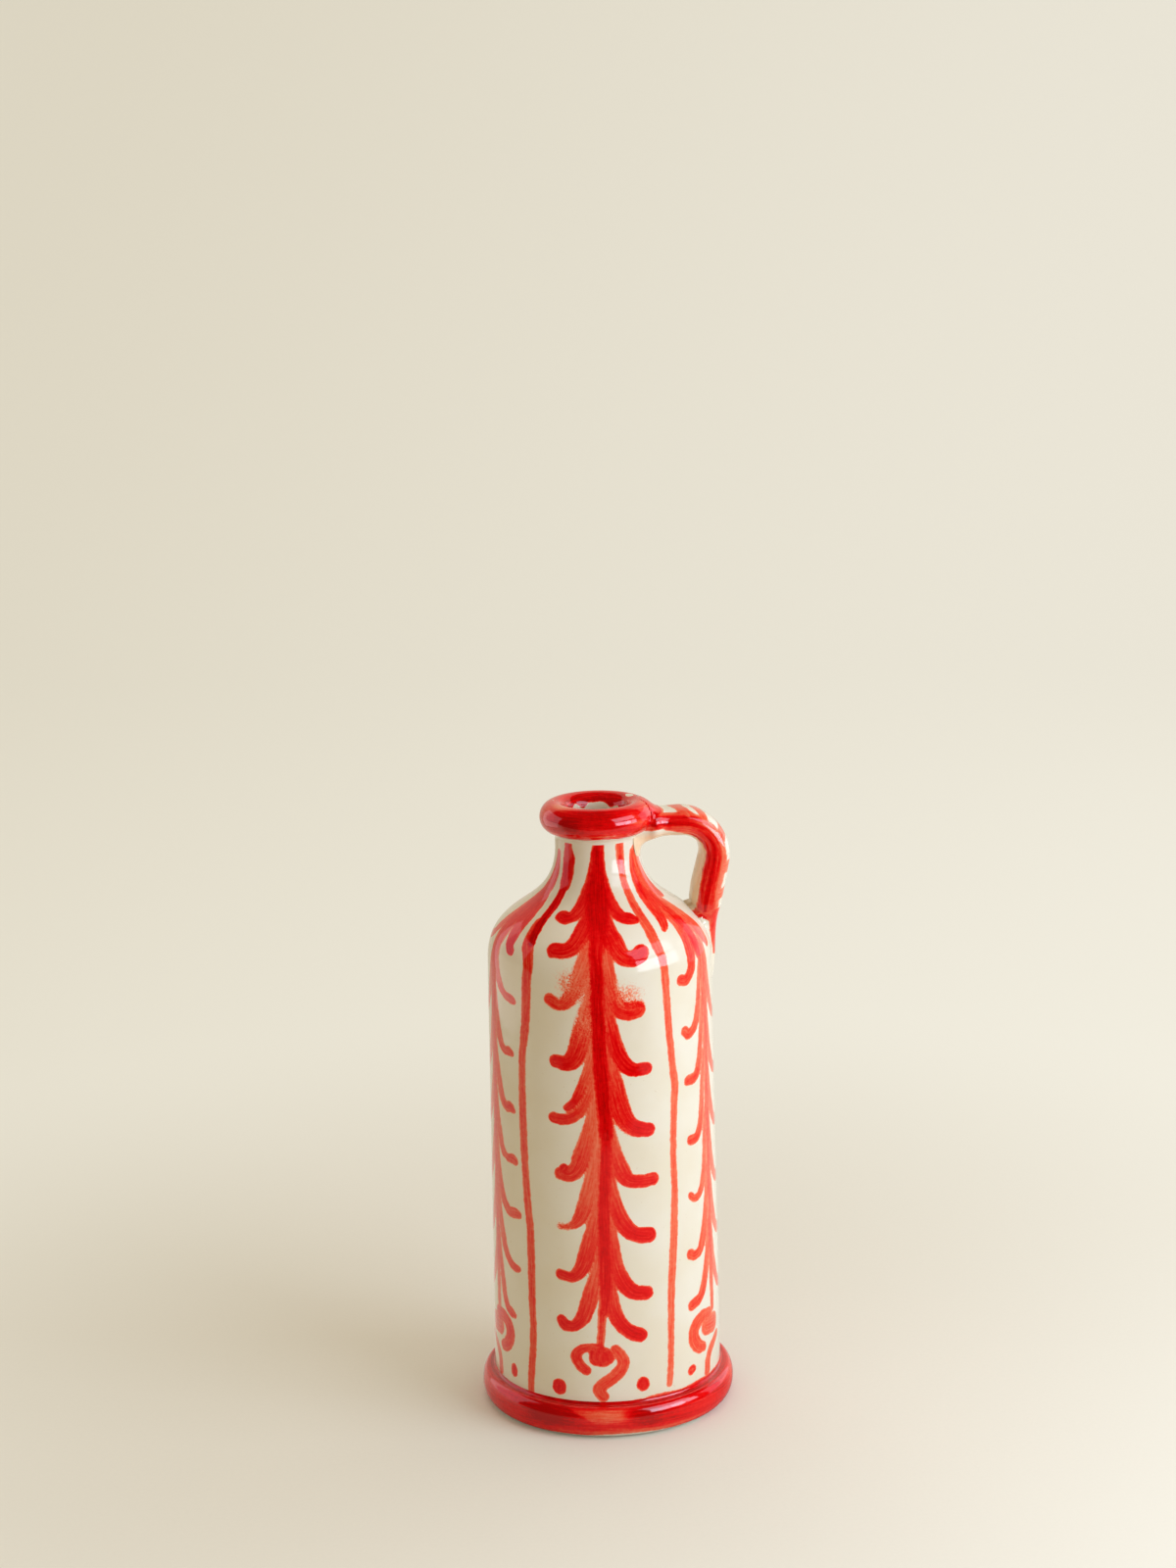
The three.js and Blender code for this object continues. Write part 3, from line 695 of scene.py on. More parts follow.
def paint_piece(piece):
    """Brushwork and rubbed places on the outside of a wall piece."""
    turn, radius, z = polar(piece.data)
    climb = climb_at(z)
    inside = radius < radius_at(z) - WALL_THICKNESS / 2
    leaves, stems, marks = paint_wall(turn, climb, radius)
    low_band = foot_band_top(np.degrees(turn) - FRONT_TURN) - z
    stems.near_tone = np.where(low_band > stems.depth, 0.95, stems.near_tone)
    stems.inner_tone = np.where(low_band > 0.4, 0.98, stems.inner_tone)
    stems.across = np.where(low_band > stems.depth, low_band * 1.5, stems.across)
    stems.depth = np.maximum(stems.depth, low_band)
    for name, layer in (("leaves", leaves), ("stems", stems), ("marks", marks)):
        rows = layer.rows()
        rows[inside] = (Layer.FAR, 0, 0)
        write(piece.data, name, *rows.T)
    rub = np.zeros(len(z))
    for degrees, height, wide, tall, amount in RUBBED_SPOTS:
        side = radius * wrapped(turn - math.radians(degrees + FRONT_TURN))
        fall = np.exp(-(side / wide) ** 2 - ((climb - climb_at(height)) / tall) ** 2)
        rub = np.maximum(rub, amount * fall)
    rub[inside] = 0
    write(piece.data, "rub", rub, 0 * rub, 0 * rub)


def hills(turn, other, places):
    """A sum of soft bumps over the turn in degrees and one other coordinate."""
    total = np.zeros(turn.shape)
    for degrees, at, wide, tall, amount in places:
        off = np.degrees(wrapped(np.radians(turn - degrees)))
        total += amount * np.exp(-(off / wide) ** 2 - ((other - at) / tall) ** 2)
    return total


def foot_band_top(turn):
    """How high the red of the foot was brushed up the wall, for a turn in degrees from the front."""
    swing = np.radians(turn)
    return 14.3 + 0.35 * np.sin(swing * 2 - 0.4) + 0.3 * np.sin(swing * 5 + 0.6) + hills(turn, 0.0, FOOT_BAND_RISES)


def on_roll(piece, centre, half):
    """For each vertex of a roll: degrees from the front, radius, height, and degrees round the roll's section."""
    turn, radius, z = polar(piece.data)
    section = np.degrees(np.arctan2((z - centre[1]) / half[1], (radius - centre[0]) / half[0]))
    return np.degrees(turn) - FRONT_TURN, radius, z, section


# Uneven red on the rolls, as soft bumps: degrees and the other coordinate, the size along both, and how much
FOOT_BAND_RISES = ((-28, 0, 7, 1, 0.7), (2, 0, 14, 1, -0.5), (28, 0, 9, 1, 0.9), (50, 0, 9, 1, 1.1),
                   (70, 0, 9, 1, 0.5))
MOUTH_EDGE_FALLS = (
    (-152, 0, 9, 1, -2.4), (-134, 0, 5, 1, 0.6), (-112, 0, 14, 1, -2.4), (148, 0, 12, 1, -1.6),
    (120, 0, 12, 1, -1.8), (-20, 0, 40, 1, -1.8), (60, 0, 20, 1, -1.6))
# On the mouth, part of this is painted light: the far inside of the mouth is darker as painted shade, and the red
# is paler on the lip's right where the window's highlight falls, as painted sheen
MOUTH_PAINT_AND_PAINTED_LIGHT = (
    (-78, 24, 20, 46, -0.40), (80, 70, 22, 50, -0.50), (14, -40, 30, 10, -0.50), (-62, -42, 24, 12, -0.46),
    (-10, -66, 80, 10, 0.3), (-50, 84, 24, 30, -0.74), (-6, 50, 26, 30, 0.34), (-30, 4, 15, 26, 0.5),
    (40, 34, 10, 20, -0.2), (180, 150, 70, 40, 0.45), (-172, 84, 14, 22, -0.3), (150, 84, 20, 24, -0.2),
    (-120, 80, 24, 30, -0.3), (48, 2, 15, 20, -0.42))
MOUTH_BARE_SPOT = ((122, 102, 10, 15, 6.0),)
# On the foot, part of this is painted reflection: the darker blocks on the front left and right stand for the dim
# room mirrored in the glaze
FOOT_PAINT_AND_REFLECTION = (
    (-28, 26, 12, 50, 0.72), (-2, -40, 46, 18, -0.40), (35, -45, 25, 14, -0.34), (-62, 40, 16, 60, -0.14),
    (18, 26, 8, 36, 0.62), (0, 20, 14, 70, -0.20), (50, 10, 16, 34, -0.16), (66, 30, 9, 30, 0.2),
    (82, 20, 12, 50, -0.42), (-85, 0, 14, 50, -0.3), (150, 20, 30, 40, -0.25), (-150, 0, 30, 40, -0.2),
    (180, 60, 16, 30, 0.3), (112, 10, 14, 50, 0.2))
FOOT_BARE_RISE = ((2, 0, 34, 1, 1.2),)


def paint_mouth(piece):
    turn, radius, z, section = on_roll(piece, MOUTH_CENTRE, MOUTH_HALF)
    section = np.where(section < -90, section + 360, section)
    swing = np.radians(turn)
    edge_out = 238.0 + 0.3 * np.sin(3 * swing + 1) + 0.25 * np.sin(7 * swing)
    edge_in = 246.6 + 0.15 * np.sin(9 * swing + 0.5) + hills(turn, 0.0, MOUTH_EDGE_FALLS)
    depth = np.where(radius > MOUTH_CENTRE[0] - 2, z - edge_out, z - edge_in)
    depth = np.maximum(np.minimum(depth, 3) - hills(turn, section, MOUTH_BARE_SPOT), -3)
    write(piece.data, "band", depth, section * 0.105, 1.06 + hills(turn, section, MOUTH_PAINT_AND_PAINTED_LIGHT))


def paint_foot(piece):
    """The red of the foot, thin on the front where the glaze ran, down to the ring of bare clay."""
    turn, radius, z, section = on_roll(piece, FOOT_CENTRE, FOOT_HALF)
    swing = np.radians(turn)
    # Painted shade: darker red along the groove where the roll meets the wall, partly pigment that pooled in it and
    # partly shade painted into the crease
    groove_shade = np.exp(-((section - 106) / 16) ** 2)
    left_end = -11.0 - 0.2 * (section - 20)
    thin_front = np.clip((turn - left_end) / 1.6, 0, 1) * np.clip((11 - turn) / 5, 0, 1)
    thin_front = thin_front * np.exp(-((section - 36) / 34) ** 4)
    tone = 1.1 + 0.3 * groove_shade - 0.46 * thin_front + hills(turn, section, FOOT_PAINT_AND_REFLECTION)
    bare_edge = 0.9 + 0.25 * np.sin(swing * 4) + 0.15 * np.sin(swing * 11) + hills(turn, 0.0, FOOT_BARE_RISE)
    write(piece.data, "band", np.clip(z - bare_edge, -3, 3), section * 0.1, tone)


def vessel_distance(points):
    """How far points are outside the vessel's surface; inside the clay it is negative."""
    radius, height = np.hypot(points[:, 0], points[:, 1]), points[:, 2]
    rim = ellipse(MOUTH_CENTRE, MOUTH_HALF, np.linspace(MOUTH_JOINT, 120, 48))
    line = np.concatenate([[(WALL_FOOT_RADIUS, 0)], evened(shoulder_line(), 0.5), mouth_fillet(6), rim[1:]])
    best = np.full(radius.shape, 1e9)
    sign = np.ones(radius.shape)
    for (r0, z0), (r1, z1) in zip(line[:-1], line[1:]):
        step_r, step_z = r1 - r0, z1 - z0
        length2 = step_r ** 2 + step_z ** 2
        t = np.clip(((radius - r0) * step_r + (height - z0) * step_z) / length2, 0, 1)
        off_r, off_z = radius - r0 - t * step_r, height - z0 - t * step_z
        away = np.hypot(off_r, off_z)
        side = (off_r * step_z - off_z * step_r) / math.sqrt(length2)
        better = away < best - 1e-9
        sign = np.where(better, np.where(side >= 0, 1.0, -1.0), sign)
        best = np.where(better, away, best)
    return best * sign


def strap_stations():
    """The handle's centre line: place, direction, width and thickness."""
    rows = []
    for x in np.concatenate([np.arange(HANDLE_START, 31, 0.45), np.linspace(31, HANDLE_REACH - BEND_RADIUS, 4)]):
        inwards = max(UPPER_ROOT_REACH - x, 0) / (UPPER_ROOT_REACH - NECK_RADIUS)
        deeper = UPPER_ROOT_FLARE * inwards ** 2
        lift = UPPER_ROOT_LIFT * inwards ** 1.5 * float(np.interp(x, [15.0, 19.0], [0.0, 1.0]))
        knuckle = 1.4 * math.exp(-((x - KNUCKLE_PLACE) / 2.4) ** 2) - 0.5 * math.exp(-((x - 28.5) / 3.0) ** 2)
        rows.append((x, HANDLE_HEIGHT + (lift - deeper) / 2, 1.0, 0.0, STRAP_WIDTH + 2 * knuckle,
                     STRAP_THICKNESS + deeper + lift + 0.5 * min(knuckle, 0)))
    centre = (HANDLE_REACH - BEND_RADIUS, HANDLE_HEIGHT - BEND_RADIUS)
    for turned_by in np.linspace(0, math.pi / 2 + LEG_LEAN, 38)[1:]:
        rows.append((centre[0] + BEND_RADIUS * math.sin(turned_by), centre[1] + BEND_RADIUS * math.cos(turned_by),
                     math.cos(turned_by), -math.sin(turned_by), STRAP_WIDTH, STRAP_THICKNESS))
    start = np.array(rows[-1][:2])
    down = np.array([-math.sin(LEG_LEAN), -math.cos(LEG_LEAN)])
    length = (start[1] - LOWER_JOINT_HEIGHT) / math.cos(LEG_LEAN)
    for along in np.linspace(0, length, 24)[1:]:
        rows.append((*(start + down * along), *down, STRAP_WIDTH, STRAP_THICKNESS))
    joint = np.array(rows[-1][:2])
    end = np.array([wall_radius(TAIL_HEIGHT), TAIL_HEIGHT])
    third = (joint[1] - end[1]) / 3
    t = np.linspace(0, 1, 60)[1:]
    route = bezier(joint, joint + down * third, end + (0, third), end, t)
    lead = np.gradient(route, axis=0)
    lead /= np.linalg.norm(lead, axis=1)[:, None]
    for along, place, aim in zip(t, route, lead):
        rows.append((*place, *aim, STRAP_WIDTH + (TAIL_WIDTH - STRAP_WIDTH) * along,
                     STRAP_THICKNESS + (TAIL_THICKNESS - STRAP_THICKNESS) * along))
    for fade in np.linspace(0, 1, 14)[1:]:
        height = TAIL_HEIGHT - TAIL_FADE * fade
        rows.append((wall_radius(height) - 0.35 * fade, height, 0.0, -1.0, TAIL_WIDTH * (1 - 0.6 * fade),
                     TAIL_THICKNESS * (1 - 0.95 * fade)))
    return np.array(rows)


def strap_section():
    """A rounded section between an ellipse and a rectangle, with even spacing; both half axes are 1."""
    angle = np.linspace(0, TURN, 2001)
    power = 2 / STRAP_SQUARENESS
    shape = np.stack([np.sign(np.cos(angle)) * np.abs(np.cos(angle)) ** power,
                      np.sign(np.sin(angle)) * np.abs(np.sin(angle)) ** power], 1)
    run = run_along(shape * (STRAP_WIDTH / 2, STRAP_THICKNESS / 2))
    at = np.linspace(0, run[-1], SECTION_POINTS + 1)[:-1]
    return np.stack([np.interp(at, run, half) for half in shape.T], 1)


def pressed_on(places, rings):
    """Moves the handle's skin out where it meets the vessel, so that the two run into each other."""
    grid = places.reshape(rings, SECTION_POINTS, 3)
    along = np.gradient(grid, axis=0)
    around = np.roll(grid, -1, axis=1) - np.roll(grid, 1, axis=1)
    normal = np.cross(around, along)
    normal /= np.linalg.norm(normal, axis=2)[:, :, None]
    if np.sum(normal * (grid - grid.mean(axis=1)[:, None, :])) < 0:
        normal = -normal
    normal = normal.reshape(-1, 3)
    soft = np.interp(places[:, 2], [170, 180, 212, 222, 234, 238, 243.5, 245.5],
                     [0.8, 2.0, 2.6, 3.2, 3.2, 1.0, 0.9, 3.4])
    near = np.nonzero(vessel_distance(places) < soft + 0.5)[0]
    place, aim, reach = places[near], normal[near], soft[near]

    def level(t):
        a = vessel_distance(place + aim * t[:, None])
        h = np.maximum(reach - np.abs(a - t), 0) / reach
        return np.minimum(a, t) - h * h * reach / 4

    low, high = np.zeros(len(near)), reach.copy()
    joins = level(high) > 0
    for _ in range(14):
        middle = (low + high) / 2
        outside = level(middle) > 0
        high = np.where(outside, middle, high)
        low = np.where(outside, low, middle)
    beneath = vessel_distance(place + aim * reach[:, None])
    sunk = np.where(place[:, 2] < 243, reach * np.clip(1 + beneath / 3, 0, 1), 0.0)
    moved = places.copy()
    moved[near] = place + aim * np.where(joins, high, sunk)[:, None]
    return moved


def handle_piece(glaze):
    stations = strap_stations()
    section = strap_section()
    rings = len(stations)
    places, out, across, run = [], [], [], []
    outer_run, last = 0.0, None
    for x, z, aim_x, aim_z, width, thickness in stations:
        outer = np.array([x - aim_z * thickness / 2, z + aim_x * thickness / 2])
        if last is not None:
            outer_run += float(np.hypot(*(outer - last)))
        last = outer
        y = section[:, 0] * width / 2
        o = section[:, 1] * thickness / 2
        if z < LEG_SWELL_TOP:
            o = np.where(o < 0, o * (1 + LEG_SWELL * np.interp(z, [200, 212, LEG_SWELL_TOP], [0.4, 1.0, 0.0])), o)
        places.append(np.stack([x - aim_z * o, y, z + aim_x * o], 1))
        out.append(z + o - HANDLE_HEIGHT if x < 30 and z > 230 else o)
        across.append(y)
        run.append(np.full(SECTION_POINTS, outer_run))
    places = pressed_on(np.concatenate(places), rings)
    out, across, run = (np.concatenate(v) for v in (out, across, run))
    run -= run[np.argmin(np.abs(places[:, 0] - 27.0) + 100 * (places[:, 2] < 244) + np.abs(across))]
    faces = []
    for ring in range(rings - 1):
        for k in range(SECTION_POINTS):
            a, b = ring * SECTION_POINTS + k, ring * SECTION_POINTS + (k + 1) % SECTION_POINTS
            faces.append((a, b, b + SECTION_POINTS, a + SECTION_POINTS))
    faces.append(tuple(reversed(range(SECTION_POINTS))))
    faces.append(tuple(range((rings - 1) * SECTION_POINTS, rings * SECTION_POINTS)))
    mesh = plain_mesh("handle_glaze", places * MM, faces)
    outwards(mesh)
    mesh.polygons.foreach_set("use_smooth", np.ones(len(mesh.polygons), bool))
    mesh.materials.append(glaze)
    paint_handle(mesh, places, out, across, run)
    return placed("handle_glaze", mesh)


# The cream gaps in the ladder of bars down the outside of the strap, from 27 mm off the axis on
CREAM_GAPS = ((-1.6, 2.6), (8.0, 10.6), (15.2, 20.4), (26.5, 36.5), (41.5, 47.0), (52.2, 56.6))


def paint_handle(mesh, places, out, across, run):
    """A band down each side, bars across the outside, and the cream inside left bare."""
    edge = np.abs(across)
    swing = 0.5 * np.sin(run * 0.35 + np.sign(across)) + 0.3 * np.sin(run * 0.83 + 2)
    inner_limit = np.interp(run, [-9, -5, -3.6, -1, 4, 8, 14, 22, 56, 61.5, 64.5, 68, 74, 82],
                            [-1.4, -1.6, -0.6, -2.0, -3.3, -3.8, -4.6, -5.3, -5.6, -4.9, 0.2, 0.2, 0.4, 0.8])
    outer_limit = np.interp(run, [0, 8, 16, 26], [6.3, 6.6, 7.6, 8.5])
    band = np.minimum(out - inner_limit + 0.4 * swing, edge - np.where(out > 0, outer_limit, 7.0) + 0.35 * swing)
    band = np.minimum(band, 65.5 - run)
    bars = np.minimum(out - 1.0, 4.0)
    slant = run + np.interp(run, [2, 12], [0.12, 0.42]) * across + 0.5 * np.sin(across * 0.5 + run * 0.3)
    for start, end in CREAM_GAPS:
        bars = np.minimum(bars, np.maximum(start - slant, slant - end))
    bars = np.minimum(bars, 60 - run)
    tail_end = 79.9 - run - 0.06 * across ** 2 + 0.3 * np.sin(across * 1.3 + 1)
    tail = np.minimum(np.minimum(out - inner_limit, run - 59.2), tail_end)
    collar = np.minimum(-1.8 - run, out + 1.4 + 0.3 * swing)
    radius = np.hypot(places[:, 0], places[:, 1])
    on_lip = np.minimum(places[:, 2] - 238.4 - 0.3 * swing, 22.6 - radius)
    depth = np.maximum.reduce([band, bars, tail, collar, on_lip])
    on_top = np.interp(out, [-5, -3, -0.8, 0.4, 2.4, 4.2], [0.56, 0.62, 0.72, 1.04, 1.14, 0.62])
    on_leg = np.interp(out, [-5, -3.6, -0.6, 1.4, 2.8, 4.2], [0.84, 1.12, 0.96, 0.62, 0.42, 0.34])
    lower = np.interp(run, [9, 20], [0.0, 1.0])
    streaks = np.sin(out * 2.6 + 0.8 * np.sin(run * 0.16)) + 0.6 * np.sin(out * 1.4 + run * 0.06 + 1)
    side_tone = (on_top * (1 - lower) + on_leg * lower) * (1 + 0.22 * streaks)
    tone = np.where(band > bars, side_tone, 0.56 - 0.10 * lower)
    tone = np.where((tail > band) & (tail > bars), 0.70, tone)
    tone = np.where((collar > band) & (collar > 0), 0.88, tone)
    # Painted shade: darker red in the crease where the strap is pressed onto the lip, and a little darker in the
    # shallow waist just beyond its knuckle
    tone += (0.40 * np.exp(-((run + 4.4) / 1.2) ** 2) * (out < 5)
             + 0.2 * np.exp(-((run - 0.6) / 1.2) ** 2) * (out < 3))
    brushed = np.where(bars > band, slant * 1.2, out * 1.2 + edge * 0.5)
    brushed = np.where((tail > band) & (tail > bars), across * 1.2, brushed)
    write(mesh, "band", np.clip(depth, -3, 3), brushed, tone)
    # Inside of the strap: a warmer cream, partly the thicker glaze that pooled there and partly painted reddish
    # bounce light from the red strap
    pool_and_bounce = np.clip((-out - 1.5) / 3, 0, 1)
    write(mesh, "pooled_and_bounce", pool_and_bounce, pool_and_bounce, pool_and_bounce)


CREAM = (0.80, 0.765, 0.64, 1)
CREAM_WARM = (0.77, 0.715, 0.56, 1)
CREAM_SPECK = (0.55, 0.42, 0.24, 1)
CREAM_PINHOLE = (0.85, 0.78, 0.66, 1)
# Warmer cream for the inside of the strap: pooled glaze with painted reddish bounce light in it
POOLED_CREAM_AND_RED_BOUNCE = (0.86, 0.68, 0.44, 1)
REDS = ((0.0, (0.88, 0.40, 0.24, 1)), (0.24, (0.87, 0.20, 0.10, 1)), (0.36, (0.85, 0.095, 0.042, 1)),
        (0.48, (0.83, 0.028, 0.014, 1)), (0.60, (0.79, 0.004, 0.004, 1)), (0.72, (0.72, 0.0, 0.001, 1)),
        (0.86, (0.60, 0.0, 0.0, 1)), (1.0, (0.44, 0.0, 0.0, 1)))
CLAY_DARK = (0.62, 0.50, 0.34, 1)
CLAY_PALE = (0.74, 0.64, 0.47, 1)

# How the edge of a stroke wanders, crumbles and fades, and how deep the streaks of the brush are
EDGE_WANDER = 0.9
EDGE_GRAIN = 0.35
EDGE_FADE = 0.16
SMEAR_CRUMBLE = 7.0
SMEAR_FADE = 1.7
STREAK_DEPTH = 1.35
OVERLAP = 0.18


def fired_glaze(name, layers, rubbed=False, pooled_and_bounce=False, ior=1.46):
    """Glossy cream glaze with red brushwork under it, from the layers kept on the mesh."""
    material, t = new_material(name)
    mm = t.millimetres()
    wander, grain, mottle, crumbs = (t.math("SUBTRACT", t.noise(mm, *kind), 0.5) for kind in (
        (0.35, 2.0), (2.6, 2.0), (0.7, 3.0), (1.3, 3.0, 0.7)))
    soft = t.kept("rub")["X"] if rubbed else 0.0
    parts = []
    for place, layer in enumerate(layers):
        depth, across, tone = t.kept(layer)
        lane = t.combined(t.times(across, 0.55), t.times(across, 0.8), float(place * 7))
        streak = t.math("SUBTRACT", t.noise(t.vector("ADD", t.scaled(mm, 0.07), lane), 1.5, 4.0, 0.62), 0.5)
        edge = t.math("ADD", depth, t.times(wander, EDGE_WANDER))
        if rubbed:
            edge = t.times_plus(crumbs, t.times(soft, SMEAR_CRUMBLE), edge)
        edge = t.times_plus(grain, EDGE_GRAIN, edge)
        fade = t.times_plus(soft, SMEAR_FADE, EDGE_FADE) if rubbed else EDGE_FADE
        cover = t.eased(edge, t.times(fade, -1.0), fade)
        rim = t.eased(edge, 0.0, 1.5, 0.5, 1.0) if layer == "stems" else t.eased(edge, 0.0, 0.8, 0.55, 1.0)
        core = t.eased(edge, 1.2, 3.0, 0.97, 1.06)
        drag = t.times_plus(streak, STREAK_DEPTH, 1.0)
        patchy = t.times_plus(mottle, 0.5, 1.0)
        if rubbed:
            patchy = t.times_plus(soft, t.math("SUBTRACT", t.times(crumbs, 2.4), 0.42), patchy)
        gritty = t.times_plus(grain, 0.22, 1.0)
        pigment = t.times(t.times(cover, tone), t.times(rim, core))
        parts.append(t.times(pigment, t.times(drag, t.times(patchy, gritty))))
    total = parts[0]
    for part in parts[1:]:
        low, high = t.math("MINIMUM", total, part), t.math("MAXIMUM", total, part)
        total = t.times_plus(low, OVERLAP, high)
    if rubbed:
        dust = t.eased(t.times_plus(soft, 0.30, crumbs), 0.08, 0.40, 0.0, 0.40)
        total = t.math("MAXIMUM", total, t.times(dust, soft))
    cream = t.mixed(t.eased(t.noise(mm, 0.03, 3.0), 0.35, 0.7), CREAM, CREAM_WARM)
    speck = t.eased(t.noise(mm, 0.9, 1.0), 0.74, 0.80)
    cream = t.mixed(t.times(speck, 0.35), cream, CREAM_SPECK)
    # Pooled glaze on the strap's inside, with painted reddish bounce light
    if pooled_and_bounce:
        cream = t.mixed(t.kept("pooled_and_bounce")["X"], cream, POOLED_CREAM_AND_RED_BOUNCE)
    ramp = t.node("ShaderNodeValToRGB", Fac=t.times(total, 0.64))
    while len(ramp.color_ramp.elements) < len(REDS):
        ramp.color_ramp.elements.new(1.0)
    for element, (position, colour) in zip(ramp.color_ramp.elements, REDS):
        element.position = position
        element.color = colour
    painted = t.mixed(t.math("MULTIPLY", total, 3.4, clamp=True), cream, ramp.outputs["Color"])
    cells = t.node("ShaderNodeTexVoronoi", Vector=mm, Scale=0.075).outputs
    chosen = t.math("GREATER_THAN", t.split(cells["Color"])["X"], 0.55)
    pin = t.times(t.eased(cells["Distance"], 0.022, 0.036, 1.0, 0.0), chosen)
    painted = t.mixed(t.times(pin, 0.75), painted, CREAM_PINHOLE)
    peel = t.math("ADD", t.times(t.noise(mm, 0.16, 2.0), 0.055), t.times(mottle, 0.006))
    t.surface(t.math("ADD", peel, t.times(pin, -0.05)), 1.0, Base_Color=painted, Roughness=0.07, IOR=ior)
    return material


def bare_clay():
    material, t = new_material("wiped_clay")
    fleck = t.noise(t.millimetres(), 1.4, 4.0, 0.6)
    colour = t.mixed(t.eased(fleck, 0.35, 0.68), CLAY_DARK, CLAY_PALE)
    t.surface(t.times(fleck, 0.15), 0.6, Base_Color=colour, Roughness=0.8, IOR=1.45)
    return material


TURNING = turning_tree()
wall_glaze = fired_glaze("painted_cream_glaze", ("leaves", "stems", "marks"), rubbed=True)
roll_glaze = fired_glaze("painted_roll_glaze", ("band",), ior=1.64)
strap_glaze = fired_glaze("painted_strap_glaze", ("band",), pooled_and_bounce=True, ior=1.64)

body = turned("body_glaze", body_profile(), wall_glaze)
shoulder = turned("shoulder_glaze", shoulder_profile(), wall_glaze)
mouth = turned("mouth_glaze", mouth_profile(), roll_glaze)
foot = turned("foot_glaze", foot_profile(), roll_glaze)
clay = turned("base_clay", clay_profile(), bare_clay())
handle = handle_piece(strap_glaze)

paint_piece(body)
paint_piece(shoulder)
paint_mouth(mouth)
paint_foot(foot)

for piece, slot, nodes in (
        (body, "cream_glaze", ("body_cylinder",)),
        (shoulder, "cream_glaze", ("shoulder_dome", "neck_tube")),
        (mouth, "red_glaze", ("mouth_roll",)),
        (foot, "red_glaze", ("foot_roll",)),
        (clay, "bare_clay", ("base_slab",)),
        (handle, "red_glaze", ("handle_strap", "handle_upper_root", "handle_lower_root"))):
    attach(piece, "root")
    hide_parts(*nodes)


# The camera, fitted to the photograph: its place in metres, and its turns in degrees
CAMERA_PLACE = (-0.1868, -1.1797, 0.5233)
CAMERA_HEADING, CAMERA_PITCH, CAMERA_ROLL = 8.85, 12.59, -1.23
CAMERA_SENSOR = 36.0
CAMERA_LENS = 70.9

# The paper that the pot stands on, in metres, and its colours
PAPER_EDGE = 0.42
PAPER_SIDE = 4.0
PAPER_TOP = 3.2
CURVE_START = 1.6
CURVE_RADIUS = 0.9
FAR = 60.0
PAPER_DARK = (0.735, 0.722, 0.635, 1)
PAPER_LIGHT = (0.765, 0.752, 0.66, 1)
PAPER_LEFT = (0.84, 0.80, 0.67, 1)
PAPER_RIGHT = (1.0, 0.98, 0.88, 1)
PAPER_LIFT = 0.66
PALE_GLOSS = 0.5
PALE_LEAN = 0.35
BLACK = (0.0, 0.0, 0.0, 1)

ROOM_WARM = (0.50, 0.40, 0.275, 1)
ROOM_DIM = (0.03, 0.028, 0.025, 1)
ROOM_PALE = (0.76, 0.71, 0.60, 1)
DAYLIGHT = (0.90, 1.0, 1.22)


def place_camera():
    heading, pitch, roll = (math.radians(turn) for turn in (CAMERA_HEADING, CAMERA_PITCH, CAMERA_ROLL))
    ahead = Vector((math.sin(heading) * math.cos(pitch), math.cos(heading) * math.cos(pitch), -math.sin(pitch)))
    right = Vector((math.cos(heading), -math.sin(heading), 0))
    up = right.cross(ahead)
    right, up = (math.cos(roll) * right + math.sin(roll) * up, -math.sin(roll) * right + math.cos(roll) * up)
    camera = placed("camera", bpy.data.cameras.new("camera"))
    camera.data.sensor_width = CAMERA_SENSOR
    camera.data.lens = CAMERA_LENS
    camera.data.clip_start = 0.05
    axes = Matrix((right, up, -ahead)).transposed().to_4x4()
    camera.matrix_world = Matrix.Translation(CAMERA_PLACE) @ axes
    bpy.context.scene.camera = camera


def lit_panel(name, degrees, height, distance, wide, tall, brightness, colour):
    """A soft panel aimed at the pot. degrees are counted from the camera's side, to the right."""
    turn = math.radians(FRONT_TURN + degrees)
    place = Vector((distance * math.cos(turn), distance * math.sin(turn), height))
    lamp = bpy.data.lights.new(name, "AREA")
    lamp.shape = "RECTANGLE"
    lamp.size, lamp.size_y = wide, tall
    lamp.color = colour
    lamp.energy = brightness * math.pi * wide * tall
    light = placed(name, lamp)
    aim = (place - Vector((0, 0, 0.12))).to_track_quat("Z", "Y")
    light.matrix_world = Matrix.Translation(place) @ aim.to_matrix().to_4x4()
    return light


